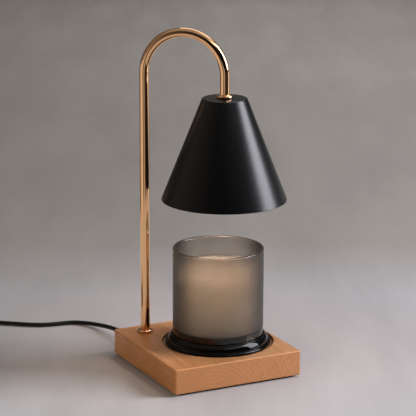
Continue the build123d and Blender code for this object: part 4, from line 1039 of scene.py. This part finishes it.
class CANDLELAMP_OT_gooseneck(bpy.types.Operator):
    """Bend the post tube and turn its two trim rings"""
    bl_idname = "candle_lamp.gooseneck"
    bl_label = "Gooseneck"

    def execute(self, context):
        size = context.scene.lamp_sizes
        fit(bent_post("bent_post", size.tube_diameter), "stand", "gooseneck_tube")
        for name, node, axis, bottom in (("foot_ring", "foot_collar", POST, BASE_TOP),
                                         ("shade_ring", "shade_collar", SHADE_AXIS, SHADE_TOP)):
            fit(turned(name, collar_profile(size, bottom), axis, 96, closed=True), "stand", node)
        return {"FINISHED"}


class CANDLELAMP_OT_shade(bpy.types.Operator):
    """Spin the shade"""
    bl_idname = "candle_lamp.shade"
    bl_label = "Shade"

    def execute(self, context):
        size = context.scene.lamp_sizes
        profile = shade_profile(size.shade_rim_radius, size.shade_top_radius)
        fit(turned("spun_shade", profile, SHADE_AXIS, size.turned_steps, closed=True), "stand",
            "lamp_shade")
        return {"FINISHED"}


class CANDLELAMP_OT_lampholder(bpy.types.Operator):
    """Finish the twist-lock holder and what hangs it in the shade"""
    bl_idname = "candle_lamp.lampholder"
    bl_label = "Lampholder"

    def execute(self, context):
        dress("holder_bracket", "head_washer", "head_nut", "lampholder", "lampholder_contacts",
              "holder_screws")
        return {"FINISHED"}


class CANDLELAMP_OT_bulb(bpy.types.Operator):
    """Finish the reflector bulb"""
    bl_idname = "candle_lamp.bulb"
    bl_label = "Bulb"

    def execute(self, context):
        dress("bulb_base", "bulb_pins", "bulb_reflector", "bulb_lens", "bulb_capsule")
        return {"FINISHED"}


class CANDLELAMP_OT_saucer(bpy.types.Operator):
    """Turn the glazed saucer"""
    bl_idname = "candle_lamp.saucer"
    bl_label = "Saucer"

    def execute(self, context):
        size = context.scene.lamp_sizes
        fit(turned("glazed_saucer", saucer_profile(size), CANDLE_AXIS, size.turned_steps), "saucer",
            "candle_saucer")
        return {"FINISHED"}


class CANDLELAMP_OT_candle(bpy.types.Operator):
    """Turn the jar and the wax, and braid the wick"""
    bl_idname = "candle_lamp.candle"
    bl_label = "Candle"

    def execute(self, context):
        size = context.scene.lamp_sizes
        steps = size.turned_steps
        fit(turned("smoked_jar", jar_profile(size), CANDLE_AXIS, steps), "candle", "candle_jar")
        fit(turned("poured_wax", wax_profile(size), CANDLE_AXIS, steps, closed=True), "candle",
            "candle_wax")
        fit(braided_wick("braided_wick", size.wick_diameter), "candle", "candle_wick")
        dress("wick_sustainer")
        return {"FINISHED"}


class CANDLELAMP_OT_dimmer(bpy.types.Operator):
    """Finish the in-line dimmer, inside and out"""
    bl_idname = "candle_lamp.dimmer"
    bl_label = "Dimmer"

    def execute(self, context):
        dress("dimmer_lower_shell", "dimmer_upper_shell", "dimmer_wheel", "dimmer_shaft",
              "dimmer_potentiometer", "dimmer_board", "dimmer_components", "dimmer_screws",
              "dimmer_reliefs", "dimmer_lead_ends")
        return {"FINISHED"}


class CANDLELAMP_OT_plug(bpy.types.Operator):
    """Finish the two-blade plug"""
    bl_idname = "candle_lamp.plug"
    bl_label = "Plug"

    def execute(self, context):
        dress("plug_body", "plug_blades")
        return {"FINISHED"}


OPERATORS = (
    CANDLELAMP_OT_stage, CANDLELAMP_OT_mains_lead, CANDLELAMP_OT_base, CANDLELAMP_OT_gooseneck,
    CANDLELAMP_OT_shade, CANDLELAMP_OT_lampholder, CANDLELAMP_OT_bulb, CANDLELAMP_OT_saucer,
    CANDLELAMP_OT_candle, CANDLELAMP_OT_dimmer, CANDLELAMP_OT_plug,
)
GROUPS = (("lamp_sizes", LampSizes), ("lamp_finishes", LampFinishes), ("lamp_studio", LampStudio))


class CANDLELAMP_PT_panel(bpy.types.Panel):
    """Sizes, finishes and the steps that build the lamp"""
    bl_idname = "CANDLELAMP_PT_panel"
    bl_label = "Candle Lamp"
    bl_space_type = "VIEW_3D"
    bl_region_type = "UI"
    bl_category = "Candle Lamp"

    def draw(self, context):
        for name, group in GROUPS:
            column = self.layout.column(align=True)
            for key in group.__annotations__:
                column.prop(getattr(context.scene, name), key)
        for operator in OPERATORS:
            self.layout.operator(operator.bl_idname)


def register():
    """Registers the groups, the operators and the panel."""
    for name, group in GROUPS:
        bpy.utils.register_class(group)
        setattr(bpy.types.Scene, name, PointerProperty(type=group))
    for item in (*OPERATORS, CANDLELAMP_PT_panel):
        bpy.utils.register_class(item)


def unregister():
    """Takes them all out again."""
    for item in (CANDLELAMP_PT_panel, *reversed(OPERATORS)):
        bpy.utils.unregister_class(item)
    for name, group in reversed(GROUPS):
        delattr(bpy.types.Scene, name)
        bpy.utils.unregister_class(group)


def main():
    register()
    for operator in OPERATORS:
        family, step = operator.bl_idname.split(".")
        getattr(getattr(bpy.ops, family), step)()
    bpy.context.view_layer.update()


if __name__ == "__main__":
    main()
